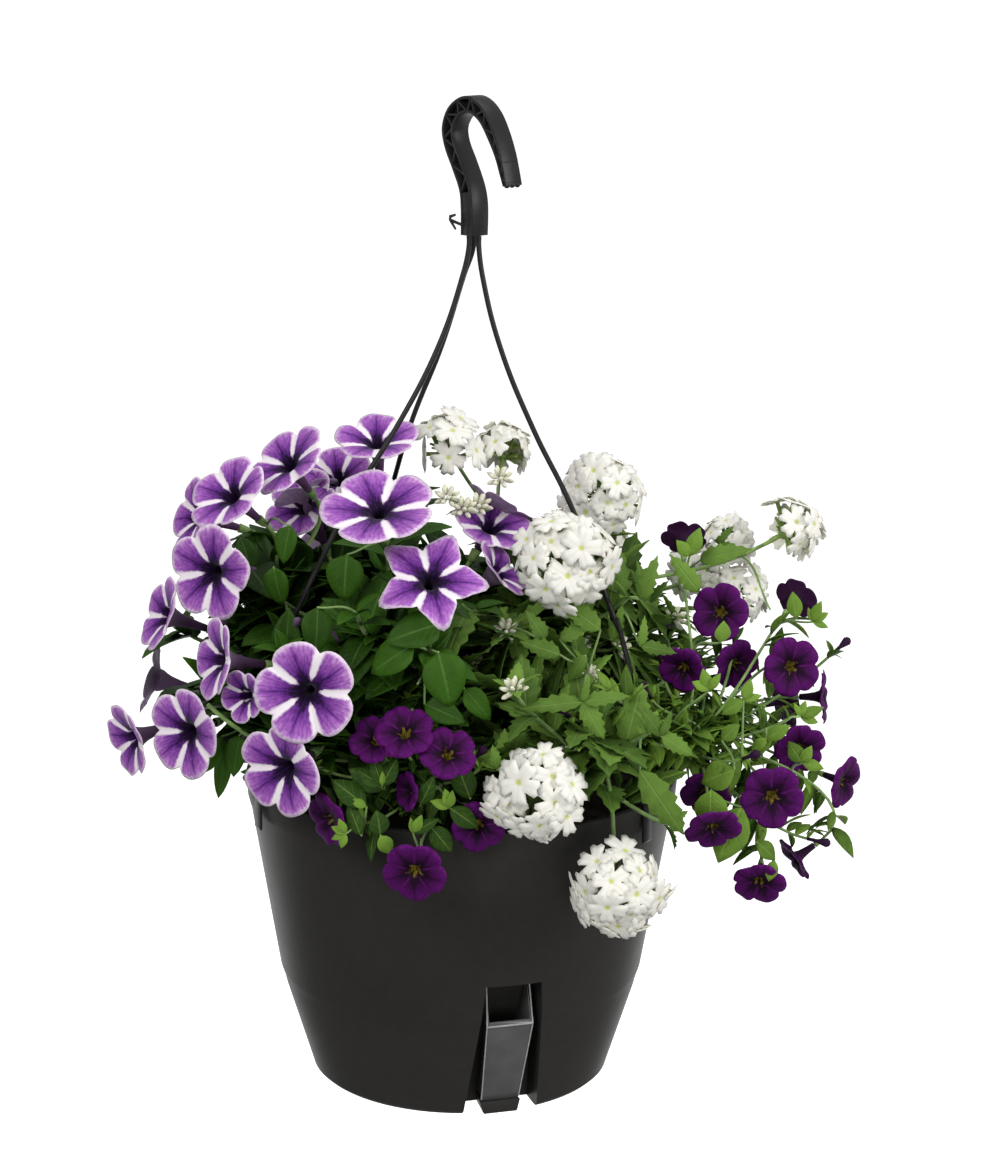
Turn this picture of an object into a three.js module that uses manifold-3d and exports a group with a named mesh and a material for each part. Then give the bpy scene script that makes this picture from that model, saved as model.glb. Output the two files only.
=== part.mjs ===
// Petunia hanging basket: a 27 cm plastic pot with a filling spout, hung by three arms
// from a ribbed hook, and planted with petunias, calibrachoas and verbenas.
import * as THREE from 'three';
import { mergeVertices } from 'three/addons/utils/BufferGeometryUtils.js';
import Module from 'manifold-3d';

const wasm = await Module();
wasm.setup();

// Everything is in millimetres and measured up from the pot's foot, on the pot's axis.
// The last group moves the whole so that its origin is the hook's saddle.
const V = (x, y, z) => new THREE.Vector3(x, y, z);
const UP = V(0, 0, 1);
const DEGREE = Math.PI / 180;
const CLEAR = 0.35;
const SLIVER = 0.1;

// The pot
const FACETS = 32;
const WALL = 2.3;
const RIM_TOP = 195;
const RIM_RADIUS = 135;
const BAND_BOTTOM = 177;
const STEP_HEIGHT = 57;
const FOOT_RADIUS = 93;
const FLOOR = 3;
const LEDGE_HEIGHT = 59;

// The niche in the pot's front for the filling spout
const NICHE_AZIMUTH = 286 * DEGREE;
const NICHE_TOP = 93;
const NICHE_DEPTH = 24;
const NICHE_WIDTH_TOP = 35;
const NICHE_WIDTH_BOTTOM = 47;
const NICHE_BACK_BOTTOM = FOOT_RADIUS - NICHE_DEPTH;
const NICHE_BACK_TOP = 118 - NICHE_DEPTH;
const SPOUT_FOOT_TOP = 8;
const SPOUT_SHEET = 1.6;

// The hook, drawn in its own upright plane, and the arms
const HOOK_X = 5;
const HOOK_TURN = -48 * DEGREE;
const FLANGE_WIDTH = 13;
const FLANGE_THICKNESS = 1.9;
const WEB_THICKNESS = 3;
const BARB_THICKNESS = 2.4;
const NECK_BOTTOM = 528;
const SADDLE = { s: 1, z: 601 };
const ARM_RADIUS = 1.6;
const ARM_RING = 3.4;
const CLIP_WIDTH = 9;
const PADDLE_TOP = 304;
const PADDLE_NARROWING = 0.36;

// The soil
const SOIL_EDGE = 176;
const SOIL_CROWN = 10;
const ROOT_DEPTH = 20;

// Finishes
const finish = (colour, roughness) =>
  new THREE.MeshStandardMaterial({ color: colour, roughness, metalness: 0 });
const POT_PLASTIC = finish('#2d2c2a', 0.38);
const SPOUT_PLASTIC = finish('#6b6b6b', 0.3);
const HOOK_PLASTIC = finish('#2c2c2c', 0.42);
const PEAT = finish('#2a1d14', 0.95);
const LEAF_GREEN = finish('#3f7a24', 0.6);
const VERBENA_GREEN = finish('#5f8f43', 0.65);
const PETUNIA_VIOLET = finish('#8a55b4', 0.55);
const CALIBRACHOA_PURPLE = finish('#57107a', 0.55);
const VERBENA_WHITE = finish('#f3f1e6', 0.6);

// A seeded draw between 0 and 1, the same on every run
function seededDraw(seed) {
  let state = seed >>> 0;
  return () => {
    state = (state + 0x6d2b79f5) >>> 0;
    let t = state;
    t = Math.imul(t ^ (t >>> 15), t | 1);
    t ^= t + Math.imul(t ^ (t >>> 7), t | 61);
    return ((t ^ (t >>> 14)) >>> 0) / 4294967296;
  };
}

// Turns a closed three.js geometry into a solid that can be joined and cut
function solid(geometry) {
  const bare = geometry.clone();
  for (const name of Object.keys(bare.attributes)) {
    if (name !== 'position') bare.deleteAttribute(name);
  }
  const merged = mergeVertices(bare, 1e-4);
  const kept = [];
  const index = merged.index.array;
  for (let i = 0; i < index.length; i += 3) {
    const [a, b, c] = [index[i], index[i + 1], index[i + 2]];
    if (a !== b && b !== c && c !== a) kept.push(a, b, c);
  }
  const build = (triangles) => new wasm.Manifold(new wasm.Mesh({
    numProp: 3,
    vertProperties: Float32Array.from(merged.attributes.position.array),
    triVerts: Uint32Array.from(triangles),
  }));
  const body = build(kept);
  if (body.volume() > 0) return body;
  for (let i = 0; i < kept.length; i += 3) {
    [kept[i + 1], kept[i + 2]] = [kept[i + 2], kept[i + 1]];
  }
  return build(kept);
}

function geometryOf(body) {
  const mesh = body.getMesh();
  const geometry = new THREE.BufferGeometry();
  geometry.setAttribute('position', new THREE.BufferAttribute(mesh.vertProperties, 3));
  geometry.setIndex(new THREE.BufferAttribute(mesh.triVerts, 1));
  geometry.computeVertexNormals();
  return geometry;
}

function joined(bodies) {
  return bodies.length === 1 ? bodies[0] : wasm.Manifold.union(bodies);
}

// Merges the slivers that a join leaves behind
function tidied(body) {
  return body.asOriginal().simplify(SLIVER);
}

function largestPiece(body) {
  const pieces = body.decompose();
  pieces.sort((a, b) => b.volume() - a.volume());
  return pieces[0];
}

// A solid of revolution about the z axis, from [radius, height] pairs that start and end on it
function turned(profile, sides = FACETS) {
  const points = profile.map(([r, h]) => new THREE.Vector2(r, h));
  return new THREE.LatheGeometry(points, sides).rotateX(Math.PI / 2);
}

// A block standing at an azimuth, between two level outlines that each give a height, the
// distances of back and front from the axis, and the widths at the front and the rear
function taperedBlock(azimuth, bottom, top) {
  const geometry = new THREE.BoxGeometry(1, 1, 1);
  const position = geometry.attributes.position;
  for (let i = 0; i < position.count; i++) {
    const level = position.getZ(i) > 0 ? top : bottom;
    const atFront = position.getX(i) > 0;
    const width = atFront ? level.width : (level.rear ?? level.width);
    position.setXYZ(i, atFront ? level.front : level.back, position.getY(i) * width, level.z);
  }
  return geometry.rotateZ(azimuth);
}

// An outline in a plane that holds the z axis, given a thickness across that plane
function upright(outline, thickness, azimuth) {
  const shape = new THREE.Shape(outline.map(([r, z]) => new THREE.Vector2(r, z)));
  const geometry = new THREE.ExtrudeGeometry(shape, { depth: thickness, bevelEnabled: false });
  geometry.translate(0, 0, -thickness / 2);
  return geometry.rotateX(Math.PI / 2).rotateZ(azimuth);
}

// A rod of few sides along a curve
function rod(curve, radius, sides, steps) {
  const section = new THREE.Shape();
  for (let i = 0; i < sides; i++) {
    const angle = (2 * Math.PI * i) / sides;
    const [x, y] = [radius * Math.cos(angle), radius * Math.sin(angle)];
    if (i === 0) section.moveTo(x, y);
    else section.lineTo(x, y);
  }
  return new THREE.ExtrudeGeometry(section, { steps, extrudePath: curve, bevelEnabled: false });
}

const meshes = [];
function piece(name, body, material) {
  const mesh = new THREE.Mesh(geometryOf(body), material);
  mesh.name = name;
  meshes.push(mesh);
}

// The niche's block, grown outwards by a margin
function nicheBlock(margin) {
  const slope = (NICHE_BACK_TOP - NICHE_BACK_BOTTOM) / NICHE_TOP;
  const widthSlope = (NICHE_WIDTH_TOP - NICHE_WIDTH_BOTTOM) / NICHE_TOP;
  const level = (z) => ({
    z,
    back: NICHE_BACK_BOTTOM + slope * z - margin,
    front: RIM_RADIUS + 10,
    width: NICHE_WIDTH_BOTTOM + widthSlope * z + 2 * margin,
  });
  return solid(taperedBlock(NICHE_AZIMUTH, level(-5), level(NICHE_TOP + margin)));
}

const POT_OUTSIDE = [
  [0, 0], [FOOT_RADIUS - 4.5, 0], [FOOT_RADIUS + 1, 4], [108.6, STEP_HEIGHT - 0.5],
  [112.3, STEP_HEIGHT + 0.5], [132.2, BAND_BOTTOM - 0.7], [134, BAND_BOTTOM],
  [RIM_RADIUS, RIM_TOP - 1.2], [RIM_RADIUS - 1.2, RIM_TOP], [0, RIM_TOP],
];
const POT_INSIDE = [
  [0, FLOOR], [FOOT_RADIUS - 4, FLOOR], [106.6, LEDGE_HEIGHT], [110, LEDGE_HEIGHT],
  [129.8, BAND_BOTTOM - 1], [131, BAND_BOTTOM + 1], [131.5, RIM_TOP + 1], [0, RIM_TOP + 1],
];

function makePot() {
  const outside = solid(turned(POT_OUTSIDE));
  const inside = solid(turned(POT_INSIDE)).subtract(nicheBlock(WALL));
  const slot = { back: 55, front: 80, width: 14 };
  const waterWay = solid(taperedBlock(NICHE_AZIMUTH, { ...slot, z: 12 }, { ...slot, z: 20 }));
  return outside.subtract(inside).subtract(nicheBlock(0)).subtract(waterWay);
}

// The plate over the water reserve rests on the pot's ledge, with a well that wicks water up
function makeFalseFloor() {
  const bottom = LEDGE_HEIGHT + CLEAR;
  const thickness = 3;
  const wellSides = 8;
  const plate = solid(turned([
    [0, bottom], [109.6, bottom], [109.6, bottom + thickness], [0, bottom + thickness],
  ]));
  const well = solid(turned([
    [0, FLOOR + CLEAR], [20, FLOOR + CLEAR], [24, bottom + 1], [0, bottom + 1],
  ], wellSides));
  const wellInside = solid(turned([
    [0, FLOOR + CLEAR + 2], [18, FLOOR + CLEAR + 2], [22, bottom + thickness + 1],
    [0, bottom + thickness + 1],
  ], wellSides));
  const holes = [];
  for (let i = 0; i < 6; i++) {
    const angle = i * 60 * DEGREE;
    const drain = new THREE.CylinderGeometry(4, 4, 12, 5).rotateX(Math.PI / 2);
    drain.translate(68 * Math.cos(angle), 68 * Math.sin(angle), bottom);
    holes.push(solid(drain));
  }
  return joined([plate, well]).subtract(wellInside).subtract(joined(holes))
    .subtract(nicheBlock(WALL + CLEAR));
}

// The clear tray of the filling spout: a front, two cheeks and a floor, open to the niche's back
const SPOUT_BOTTOM = { z: SPOUT_FOOT_TOP + 0.3, back: 71.8, front: 89.4, width: 23.6, rear: 18.4 };
const SPOUT_TOP = { z: 96, back: 95.4, front: 120.4, width: 31.8, rear: 23.8 };

function makeSpout() {
  const hollow = (level, z) => ({
    z,
    back: 60,
    front: level.front - SPOUT_SHEET,
    width: level.width - 2 * SPOUT_SHEET,
    rear: level.rear - 2 * SPOUT_SHEET,
  });
  const tray = solid(taperedBlock(NICHE_AZIMUTH, SPOUT_BOTTOM, SPOUT_TOP));
  const inside = solid(taperedBlock(
    NICHE_AZIMUTH, hollow(SPOUT_BOTTOM, SPOUT_BOTTOM.z + SPOUT_SHEET), hollow(SPOUT_TOP, SPOUT_TOP.z),
  ));
  const slantedTop = solid(upright([
    [140, 64.5], [109, 64.5], [100.5, 89], [80, 91], [80, 120], [140, 120],
  ], 60, NICHE_AZIMUTH));
  return largestPiece(tray.subtract(inside).subtract(slantedTop));
}

function makeSpoutFoot() {
  return solid(taperedBlock(
    NICHE_AZIMUTH,
    { z: 0, back: 71, front: 91.6, width: 21.5, rear: 19 },
    { z: SPOUT_FOOT_TOP, back: 73, front: 91.2, width: 25.8, rear: 21 },
  ));
}

// The hook's outer and inner edges as matching [s, z] pairs, from the neck round to the tip
const HOOK_EDGES = [
  [[-6.2, NECK_BOTTOM], [6.2, NECK_BOTTOM]],
  [[-5.4, 544], [5.4, 545]],
  [[-7, 555], [2.8, 557]],
  [[-13.6, 567.5], [-4.4, 571]],
  [[-20.2, 579], [-11, 582]],
  [[-23, 590.5], [-12.9, 590.5]],
  [[-18.8, 601.5], [-9.4, 597]],
  [[-10.8, 608.2], [-4.8, 600.3]],
  [[-1.4, 611], [SADDLE.s, SADDLE.z]],
  [[8.4, 608.4], [5.8, 599.4]],
  [[17, 601.5], [11.4, 595.4]],
  [[24.2, 590.4], [18, 586.8]],
  [[29.6, 578.4], [24.4, 576.6]],
  [[33, 567.4], [29, 566]],
  [[34.8, 560.6], [31.6, 560]],
];
const HOOK_STATIONS = 20;
const POCKETS = 9;

function hookEdge(side) {
  const points = HOOK_EDGES.map((pair) => new THREE.Vector2(...pair[side]));
  return new THREE.SplineCurve(points);
}

// Zig-zag ribs are what is left between triangular pockets on both faces of the web
function hookPockets() {
  const [outer, inner] = [hookEdge(0), hookEdge(1)];
  const [start, end] = [0.17, 0.97];
  const pitch = (end - start) / POCKETS;
  const depth = (FLANGE_WIDTH - WEB_THICKNESS) / 2;
  const inset = (t, side) => {
    const [o, i] = [outer.getPoint(t), inner.getPoint(t)];
    const across = i.clone().sub(o);
    const share = Math.min(0.3, FLANGE_THICKNESS / across.length());
    return side === 0 ? o.addScaledVector(across, share) : i.addScaledVector(across, -share);
  };
  const cuts = [];
  for (let k = 0; k < POCKETS; k++) {
    const t = start + k * pitch;
    const near = k % 2;
    const corners = [
      inset(t - 0.36 * pitch, near), inset(t + 1.36 * pitch, near), inset(t + 0.5 * pitch, 1 - near),
    ].map((p) => [p.x, p.y]);
    for (const face of [-1, 1]) {
      const cut = upright(corners, depth, 0);
      cut.translate(0, (face * (WEB_THICKNESS + depth)) / 2, 0);
      cuts.push(solid(cut));
    }
  }
  return joined(cuts);
}

// Where an arm meets the neck's underside
function neckPlace(azimuth) {
  return V(HOOK_X + ARM_RING * Math.cos(azimuth), ARM_RING * Math.sin(azimuth), NECK_BOTTOM - CLEAR);
}

// The barbed end that locks the moulding shows as a small arrow beside the neck
const BARB = [
  [[-3, 537.4], [-11.6, 541], [-12, 543], [-3, 539.2]],
  [[-11.2, 542.6], [-12.6, 541.6], [-9, 536], [-8, 536.6]],
  [[-12.8, 541.4], [-11, 543.4], [-8.4, 544.6], [-8.6, 545.8], [-12.6, 544.8]],
];

function makeHook() {
  const stations = [...Array(HOOK_STATIONS + 1).keys()].map((i) => i / HOOK_STATIONS);
  const outer = stations.map((t) => hookEdge(0).getPoint(t));
  const inner = stations.map((t) => hookEdge(1).getPoint(t)).reverse();
  const outline = [...outer, ...inner].map((p) => [p.x, p.y]);
  const barb = joined(BARB.map((bar) => solid(upright(bar, BARB_THICKNESS, 0))));
  const body = solid(upright(outline, FLANGE_WIDTH, 0)).subtract(hookPockets()).add(barb);
  return body.rotate([0, 0, HOOK_TURN / DEGREE]).translate([HOOK_X, 0, 0]);
}

// Each arm leaves the neck at one azimuth, bows outwards along [radius, height] pairs or along
// points, and ends in a paddle that clips over the rim
const SIDE_ARM = [[8, 500], [22, 461], [47, 414], [73, 374], [98, 333], [119, PADDLE_TOP]];
const BACK_ARM = [
  [-1, 7, 503], [-14, 17, 459], [-32, 29, 411], [-41, 42, 380], [-48, 74, 343],
  [-50, 107, PADDLE_TOP],
];
const ARMS = [
  { name: 'arm_left', neck: 205 * DEGREE, clip: 205 * DEGREE, route: SIDE_ARM },
  { name: 'arm_right', neck: 325 * DEGREE, clip: 325 * DEGREE, route: SIDE_ARM },
  { name: 'arm_back', neck: 95 * DEGREE, clip: 115 * DEGREE, points: BACK_ARM },
];
const CLIP_OUTLINE = [
  [118.2, 308], [124.4, 276], [128.2, 240], [128.2, 184], [129.8, 184], [129.8, RIM_TOP + 0.4],
  [RIM_RADIUS + 0.5, RIM_TOP + 0.4], [RIM_RADIUS + 0.5, 173], [RIM_RADIUS + 1.4, 171.5],
  [RIM_RADIUS + 2.3, 173], [RIM_RADIUS + 2.3, 196.8], [RIM_RADIUS + 1, 198], [130.4, 198.6],
  [130, 240], [126.2, 276.4], [120.2, 308],
];

function makeArm({ neck, clip, route, points }) {
  const lean = (z) => (HOOK_X * Math.max(0, z - PADDLE_TOP)) / (NECK_BOTTOM - PADDLE_TOP);
  const along = points
    ? points.map((p) => V(...p))
    : route.map(([r, z]) => V(r * Math.cos(clip) + lean(z), r * Math.sin(clip), z));
  const start = neckPlace(neck);
  const below = start.clone().addScaledVector(UP, -6);
  const curve = new THREE.CatmullRomCurve3([start, below, ...along], false, 'centripetal');
  const strip = upright(CLIP_OUTLINE, CLIP_WIDTH, 0);
  const position = strip.attributes.position;
  for (let i = 0; i < position.count; i++) {
    const share = position.getZ(i) > PADDLE_TOP ? PADDLE_NARROWING : 1;
    position.setY(i, position.getY(i) * share);
  }
  return joined([solid(rod(curve, ARM_RADIUS, 5, 15)), solid(strip.rotateZ(clip))]);
}

// Which way a flower faces: azimuth round the pot (270 is the front) and height above level
function facing([azimuth, height]) {
  const [a, h] = [azimuth * DEGREE, height * DEGREE];
  return V(Math.cos(h) * Math.cos(a), Math.cos(h) * Math.sin(a), Math.sin(h));
}

// Moves a shape drawn about +z to a place, facing a direction, with a turn about it
function placedFacing(geometry, at, direction, turn = 0) {
  const aim = new THREE.Quaternion().setFromUnitVectors(UP, direction);
  geometry.rotateZ(turn);
  geometry.applyQuaternion(aim);
  return geometry.translate(at.x, at.y, at.z);
}

// A corolla of five lobes: a turned funnel whose rim is drawn in at the seams and waved
function corolla(profile, sides, seamShare, wave) {
  const geometry = turned(profile, sides);
  const position = geometry.attributes.position;
  const reach = Math.max(...profile.map(([r]) => r));
  for (let i = 0; i < position.count; i++) {
    const [x, y, z] = [position.getX(i), position.getY(i), position.getZ(i)];
    const outward = Math.hypot(x, y) / reach;
    const spoke = Math.round((Math.atan2(y, x) / (2 * Math.PI)) * sides + sides * 2);
    const seam = spoke % (sides / 5) === 0;
    const share = seam ? 1 - (1 - seamShare) * outward * outward : 1;
    const lift = wave * outward * outward * (seam ? -0.6 : Math.sin(spoke * 2.1));
    position.setXYZ(i, x * share, y * share, z + lift);
  }
  return geometry;
}

const PETUNIA_TUBE = 32;
function petuniaCorolla(across) {
  const r = across / 2;
  return corolla([
    [0, -8], [0.42 * r, -1.4], [r, 2], [r, 1.1], [4.6, -11], [2.3, -PETUNIA_TUBE],
    [0, -PETUNIA_TUBE],
  ], 15, 0.86, 1.6);
}

const CALIBRACHOA_TUBE = 16;
function calibrachoaCorolla(across) {
  const r = across / 2;
  return corolla([
    [0, -5], [r, 1.2], [r, 0.3], [3.4, -6.5], [1.5, -CALIBRACHOA_TUBE], [0, -CALIBRACHOA_TUBE],
  ], 10, 0.84, 0.9);
}

// A verbena head: star-shaped florets on slim tubes that stand out of a small core, fewer of
// them on a small head, and none nearer the middle than the share it opens from
const SMALL_HEAD = 60;
function verbenaHead(across, openFrom = 0) {
  const reach = across / 2;
  const florets = across > SMALL_HEAD ? 9 : 6;
  const core = new THREE.SphereGeometry(reach * 0.72, 5, 3).rotateX(Math.PI / 2);
  core.translate(0, 0, -reach * 0.35);
  const bodies = [solid(core)];
  const floretReach = across * (across > SMALL_HEAD ? 0.19 : 0.23);
  for (let i = 0; i < florets; i++) {
    const share = (i + 0.5) / florets;
    const tilt = Math.acos(1 - (1 - openFrom) * 1.15 * share - openFrom * 0.3);
    const turn = i * 137.5 * DEGREE;
    const outward = V(Math.sin(tilt), 0, Math.cos(tilt)).applyAxisAngle(UP, turn);
    const at = V(0, 0, -reach * 0.35).addScaledVector(outward, reach * 0.86);
    const star = corolla([[0, 0.6], [floretReach, 1.4], [0, -reach * 0.34]], 10, 0.5, 0);
    bodies.push(solid(placedFacing(star, at, outward, i)));
  }
  return geometryOf(tidied(joined(bodies)));
}

// The flowers: where each throat is, which way it faces and how far it measures across
const PETUNIAS = [
  { at: [-50, -95, 381], face: [262, 28], across: 68, shoot: 'centre' },
  { at: [-19, -118, 344], face: [274, 12], across: 62, shoot: 'centre' },
  { at: [-90, -142, 282], face: [262, 8], across: 60, shoot: 'low' },
  { at: [-105, -135, 233], face: [254, -4], across: 56, shoot: 'low' },
  { at: [-151, -62, 333], face: [250, 6], across: 58, shoot: 'high' },
  { at: [-166, -78, 238], face: [240, 2], across: 56, shoot: 'low' },
  { at: [-137, -35, 377], face: [228, 38], across: 52, shoot: 'high' },
  { at: [-103, -15, 391], face: [238, 44], across: 52, shoot: 'high' },
  { at: [-53, 14, 398], face: [262, 58], across: 52, shoot: 'centre' },
  { at: [-168, 20, 352], face: [160, 22], across: 50, shoot: 'high' },
  { at: [-186, -12, 295], face: [184, 26], across: 48, shoot: 'high' },
  { at: [-146, -92, 288], face: [205, 12], across: 50, shoot: 'low' },
  { at: [-197, 28, 243], face: [178, 14], across: 46, shoot: 'high' },
  { at: [-203, -22, 219], face: [196, -14], across: 48, shoot: 'high' },
  { at: [18, 2, 350], face: [300, 48], across: 50, shoot: 'centre' },
  { at: [-98, 52, 352], face: [120, 46], across: 52, shoot: 'back' },
  { at: [-128, 98, 296], face: [140, 18], across: 58, shoot: 'back' },
  { at: [-84, 140, 300], face: [112, 22], across: 58, shoot: 'back' },
  { at: [-98, 150, 226], face: [118, 2], across: 56, shoot: 'back' },
];
const CALIBRACHOAS = [
  { at: [-33, -148, 261], face: [266, 14], across: 37, shoot: 'front' },
  { at: [-50, -142, 255], face: [258, 18], across: 34, shoot: 'front', fusedWith: 'calibrachoa_01' },
  { at: [-8, -153, 250], face: [276, 12], across: 36, shoot: 'front', fusedWith: 'calibrachoa_01' },
  { at: [-27, -163, 181], face: [262, -10], across: 38, shoot: 'front', bend: [0, 0, 34] },
  { at: [-78, -138, 204], face: [222, -10], across: 34, shoot: 'front' },
  { at: [10, -142, 202], face: [276, -4], across: 32, shoot: 'front' },
  { at: [200, -45, 273], face: [286, 10], across: 37, shoot: 'right' },
  { at: [155, -45, 307], face: [250, 16], across: 36, shoot: 'right' },
  { at: [185, -95, 206], face: [272, 2], across: 39, shoot: 'right' },
  { at: [224, -15, 246], face: [350, 4], across: 34, shoot: 'right' },
  { at: [236, -40, 198], face: [322, -8], across: 34, shoot: 'right' },
  { at: [149, -112, 191], face: [276, -34], across: 35, shoot: 'right' },
  { at: [180, -85, 148], face: [262, -26], across: 33, shoot: 'right' },
  { at: [206, 34, 230], face: [24, 6], across: 36, shoot: 'rear' },
  { at: [140, 122, 226], face: [48, 8], across: 37, shoot: 'rear' },
];
const VERBENAS = [
  { at: [86, 4, 372], face: [276, 34], across: 56, shoot: 'crown' },
  { at: [60, -85, 350], face: [268, 26], across: 66, shoot: 'crown' },
  { at: [42, -158, 225], face: [268, 6], across: 64, shoot: 'drape', openFrom: 0.12 },
  { at: [92, -150, 164], face: [276, -46], across: 64, shoot: 'drape' },
  { at: [-12, 32, 396], face: [250, 40], across: 46, shoot: 'crown' },
  { at: [26, 56, 392], face: [70, 62], across: 40, shoot: 'crown' },
  { at: [166, 22, 338], face: [300, 50], across: 42, shoot: 'crown' },
  { at: [172, 6, 308], face: [290, 30], across: 42, shoot: 'crown', fusedWith: 'verbena_head_07' },
  { at: [208, -2, 350], face: [350, 34], across: 40, shoot: 'crown' },
  { at: [84, 112, 326], face: [62, 42], across: 60, shoot: 'rear' },
  { at: [12, 146, 262], face: [92, 16], across: 60, shoot: 'rear' },
];

// The leafy shoots: where each is rooted, where it branches, and its flowerless twigs' tips
const SHOOTS = [
  { name: 'low', kind: 'petunia', root: [-74, -58], hub: [-104, -92, 232],
    twigs: [[-112, -118, 268], [-120, -112, 186], [-150, -98, 262]] },
  { name: 'high', kind: 'petunia', root: [-84, -4], hub: [-118, -2, 290],
    twigs: [[-140, -34, 262], [-150, 40, 300], [-174, 18, 276]] },
  { name: 'centre', kind: 'petunia', root: [-38, -34], hub: [-44, -44, 272],
    twigs: [[-62, -112, 322], [-20, -118, 300], [-72, -84, 272], [8, -62, 312]] },
  { name: 'back', kind: 'petunia', root: [-66, 56], hub: [-88, 78, 250],
    twigs: [[-142, 62, 250], [-120, 118, 232], [-100, 112, 300]] },
  { name: 'crown', kind: 'verbena', root: [34, -16], hub: [42, -16, 288],
    twigs: [[98, -58, 318], [26, -70, 300], [74, -84, 276], [132, 34, 286], [128, -20, 296]] },
  { name: 'drape', kind: 'verbena', root: [62, -72], hub: [66, -104, 236],
    twigs: [[30, -136, 282], [108, -124, 254], [124, -118, 196]] },
  { name: 'rear', kind: 'verbena', root: [50, 70], hub: [66, 94, 240],
    twigs: [[112, 92, 282], [44, 142, 222], [36, 88, 306], [-12, 132, 214]] },
  { name: 'front', kind: 'calibrachoa', root: [-18, -92], hub: [-24, -112, 220],
    twigs: [[-84, -124, 232], [10, -138, 236], [-56, -142, 204]] },
  { name: 'right', kind: 'calibrachoa', root: [94, -36], hub: [142, -56, 232],
    twigs: [[196, -66, 246], [226, -26, 276], [166, -96, 230], [210, -64, 170]] },
];

// Each plant's leaf, how far apart its leaves stand along a stalk, the stalk's radius, and one
// side of the leaf's edge as shares of its length and half its width
const LEAF = {
  petunia: { length: 44, width: 27, every: 64, radius: 1.3, edge: [[0.33, 0.8], [0.62, 1]] },
  calibrachoa: { length: 23, width: 8, every: 46, radius: 0.9, edge: [[0.47, 1]] },
  verbena: {
    length: 44, width: 25, every: 76, radius: 1.2,
    edge: [[0.3, 0.92], [0.4, 0.6], [0.58, 1], [0.7, 0.5]],
  },
};
const LEAF_THICKNESS = 0.75;
const MAIN_STEM = 1.7;

// A leaf's edge from its stalk to its tip and back
function leafOutline({ length, width, edge }) {
  const side = edge.map(([along, out]) => [(out * width) / 2, along * length]);
  const left = side.map(([x, y]) => [-x, y]).reverse();
  return [[0, -1], ...side, [0, length], ...left];
}

// One leaf: its outline given a thickness, then folded along its rib and arched
function leafBody(kind, at, along, up, size) {
  const { length } = LEAF[kind];
  const points = leafOutline(LEAF[kind]).map(([x, y]) => new THREE.Vector2(x, y));
  const geometry = new THREE.ExtrudeGeometry(new THREE.Shape(points), {
    depth: LEAF_THICKNESS, bevelEnabled: false,
  });
  const position = geometry.attributes.position;
  for (let i = 0; i < position.count; i++) {
    const [x, y] = [position.getX(i), position.getY(i) / length];
    position.setZ(i, position.getZ(i) + 0.28 * Math.abs(x) - 0.24 * length * y * y);
  }
  geometry.scale(size, size, 1);
  const across = along.clone().cross(up).normalize();
  const normal = across.clone().cross(along).normalize();
  geometry.applyMatrix4(new THREE.Matrix4().makeBasis(across, along, normal));
  return solid(geometry.translate(at.x, at.y, at.z));
}

// Bodies of other pieces that a new one has to stay clear of
const placed = [];
function keep(node, body) {
  const { min, max } = body.boundingBox();
  placed.push({ node, body, min, max });
}

function clearOf(node, body, gap) {
  const { min, max } = body.boundingBox();
  return placed.every((other) => {
    if (other.node === node) return true;
    const apart = [0, 1, 2].some((i) => min[i] > other.max[i] + gap || max[i] < other.min[i] - gap);
    return apart || body.minGap(other.body, gap) >= gap;
  });
}

function soilHeight(radius) {
  return SOIL_EDGE + SOIL_CROWN * (1 - (radius / 129) ** 2);
}

// A stalk from a branch point to its end, arriving along a direction
function stalk(from, leave, to, arrive, bend = [0, 0, 0]) {
  const span = 0.42 * from.distanceTo(to);
  const first = from.clone().addScaledVector(leave, span).add(V(...bend));
  const second = to.clone().addScaledVector(arrive, -span).add(V(...bend));
  return new THREE.CubicBezierCurve3(from, first, second, to);
}

// A flower's green cup at the stalk's end, which stops just short of the tube
const CUP = {
  petunia: { length: 9, radius: 3 },
  calibrachoa: { length: 5, radius: 2 },
  verbena: { length: 0 },
};
function cup(kind, end, direction) {
  const { length, radius } = CUP[kind];
  const geometry = turned([[0, -1], [radius, length], [0, length]], 4);
  return placedFacing(geometry, end.clone().addScaledVector(direction, -length), direction);
}

// Stalks leave the main stem one after another, from its tip down to this share of it
const FORK_TOP = 0.97;
const FORK_LOW = 0.5;

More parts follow.
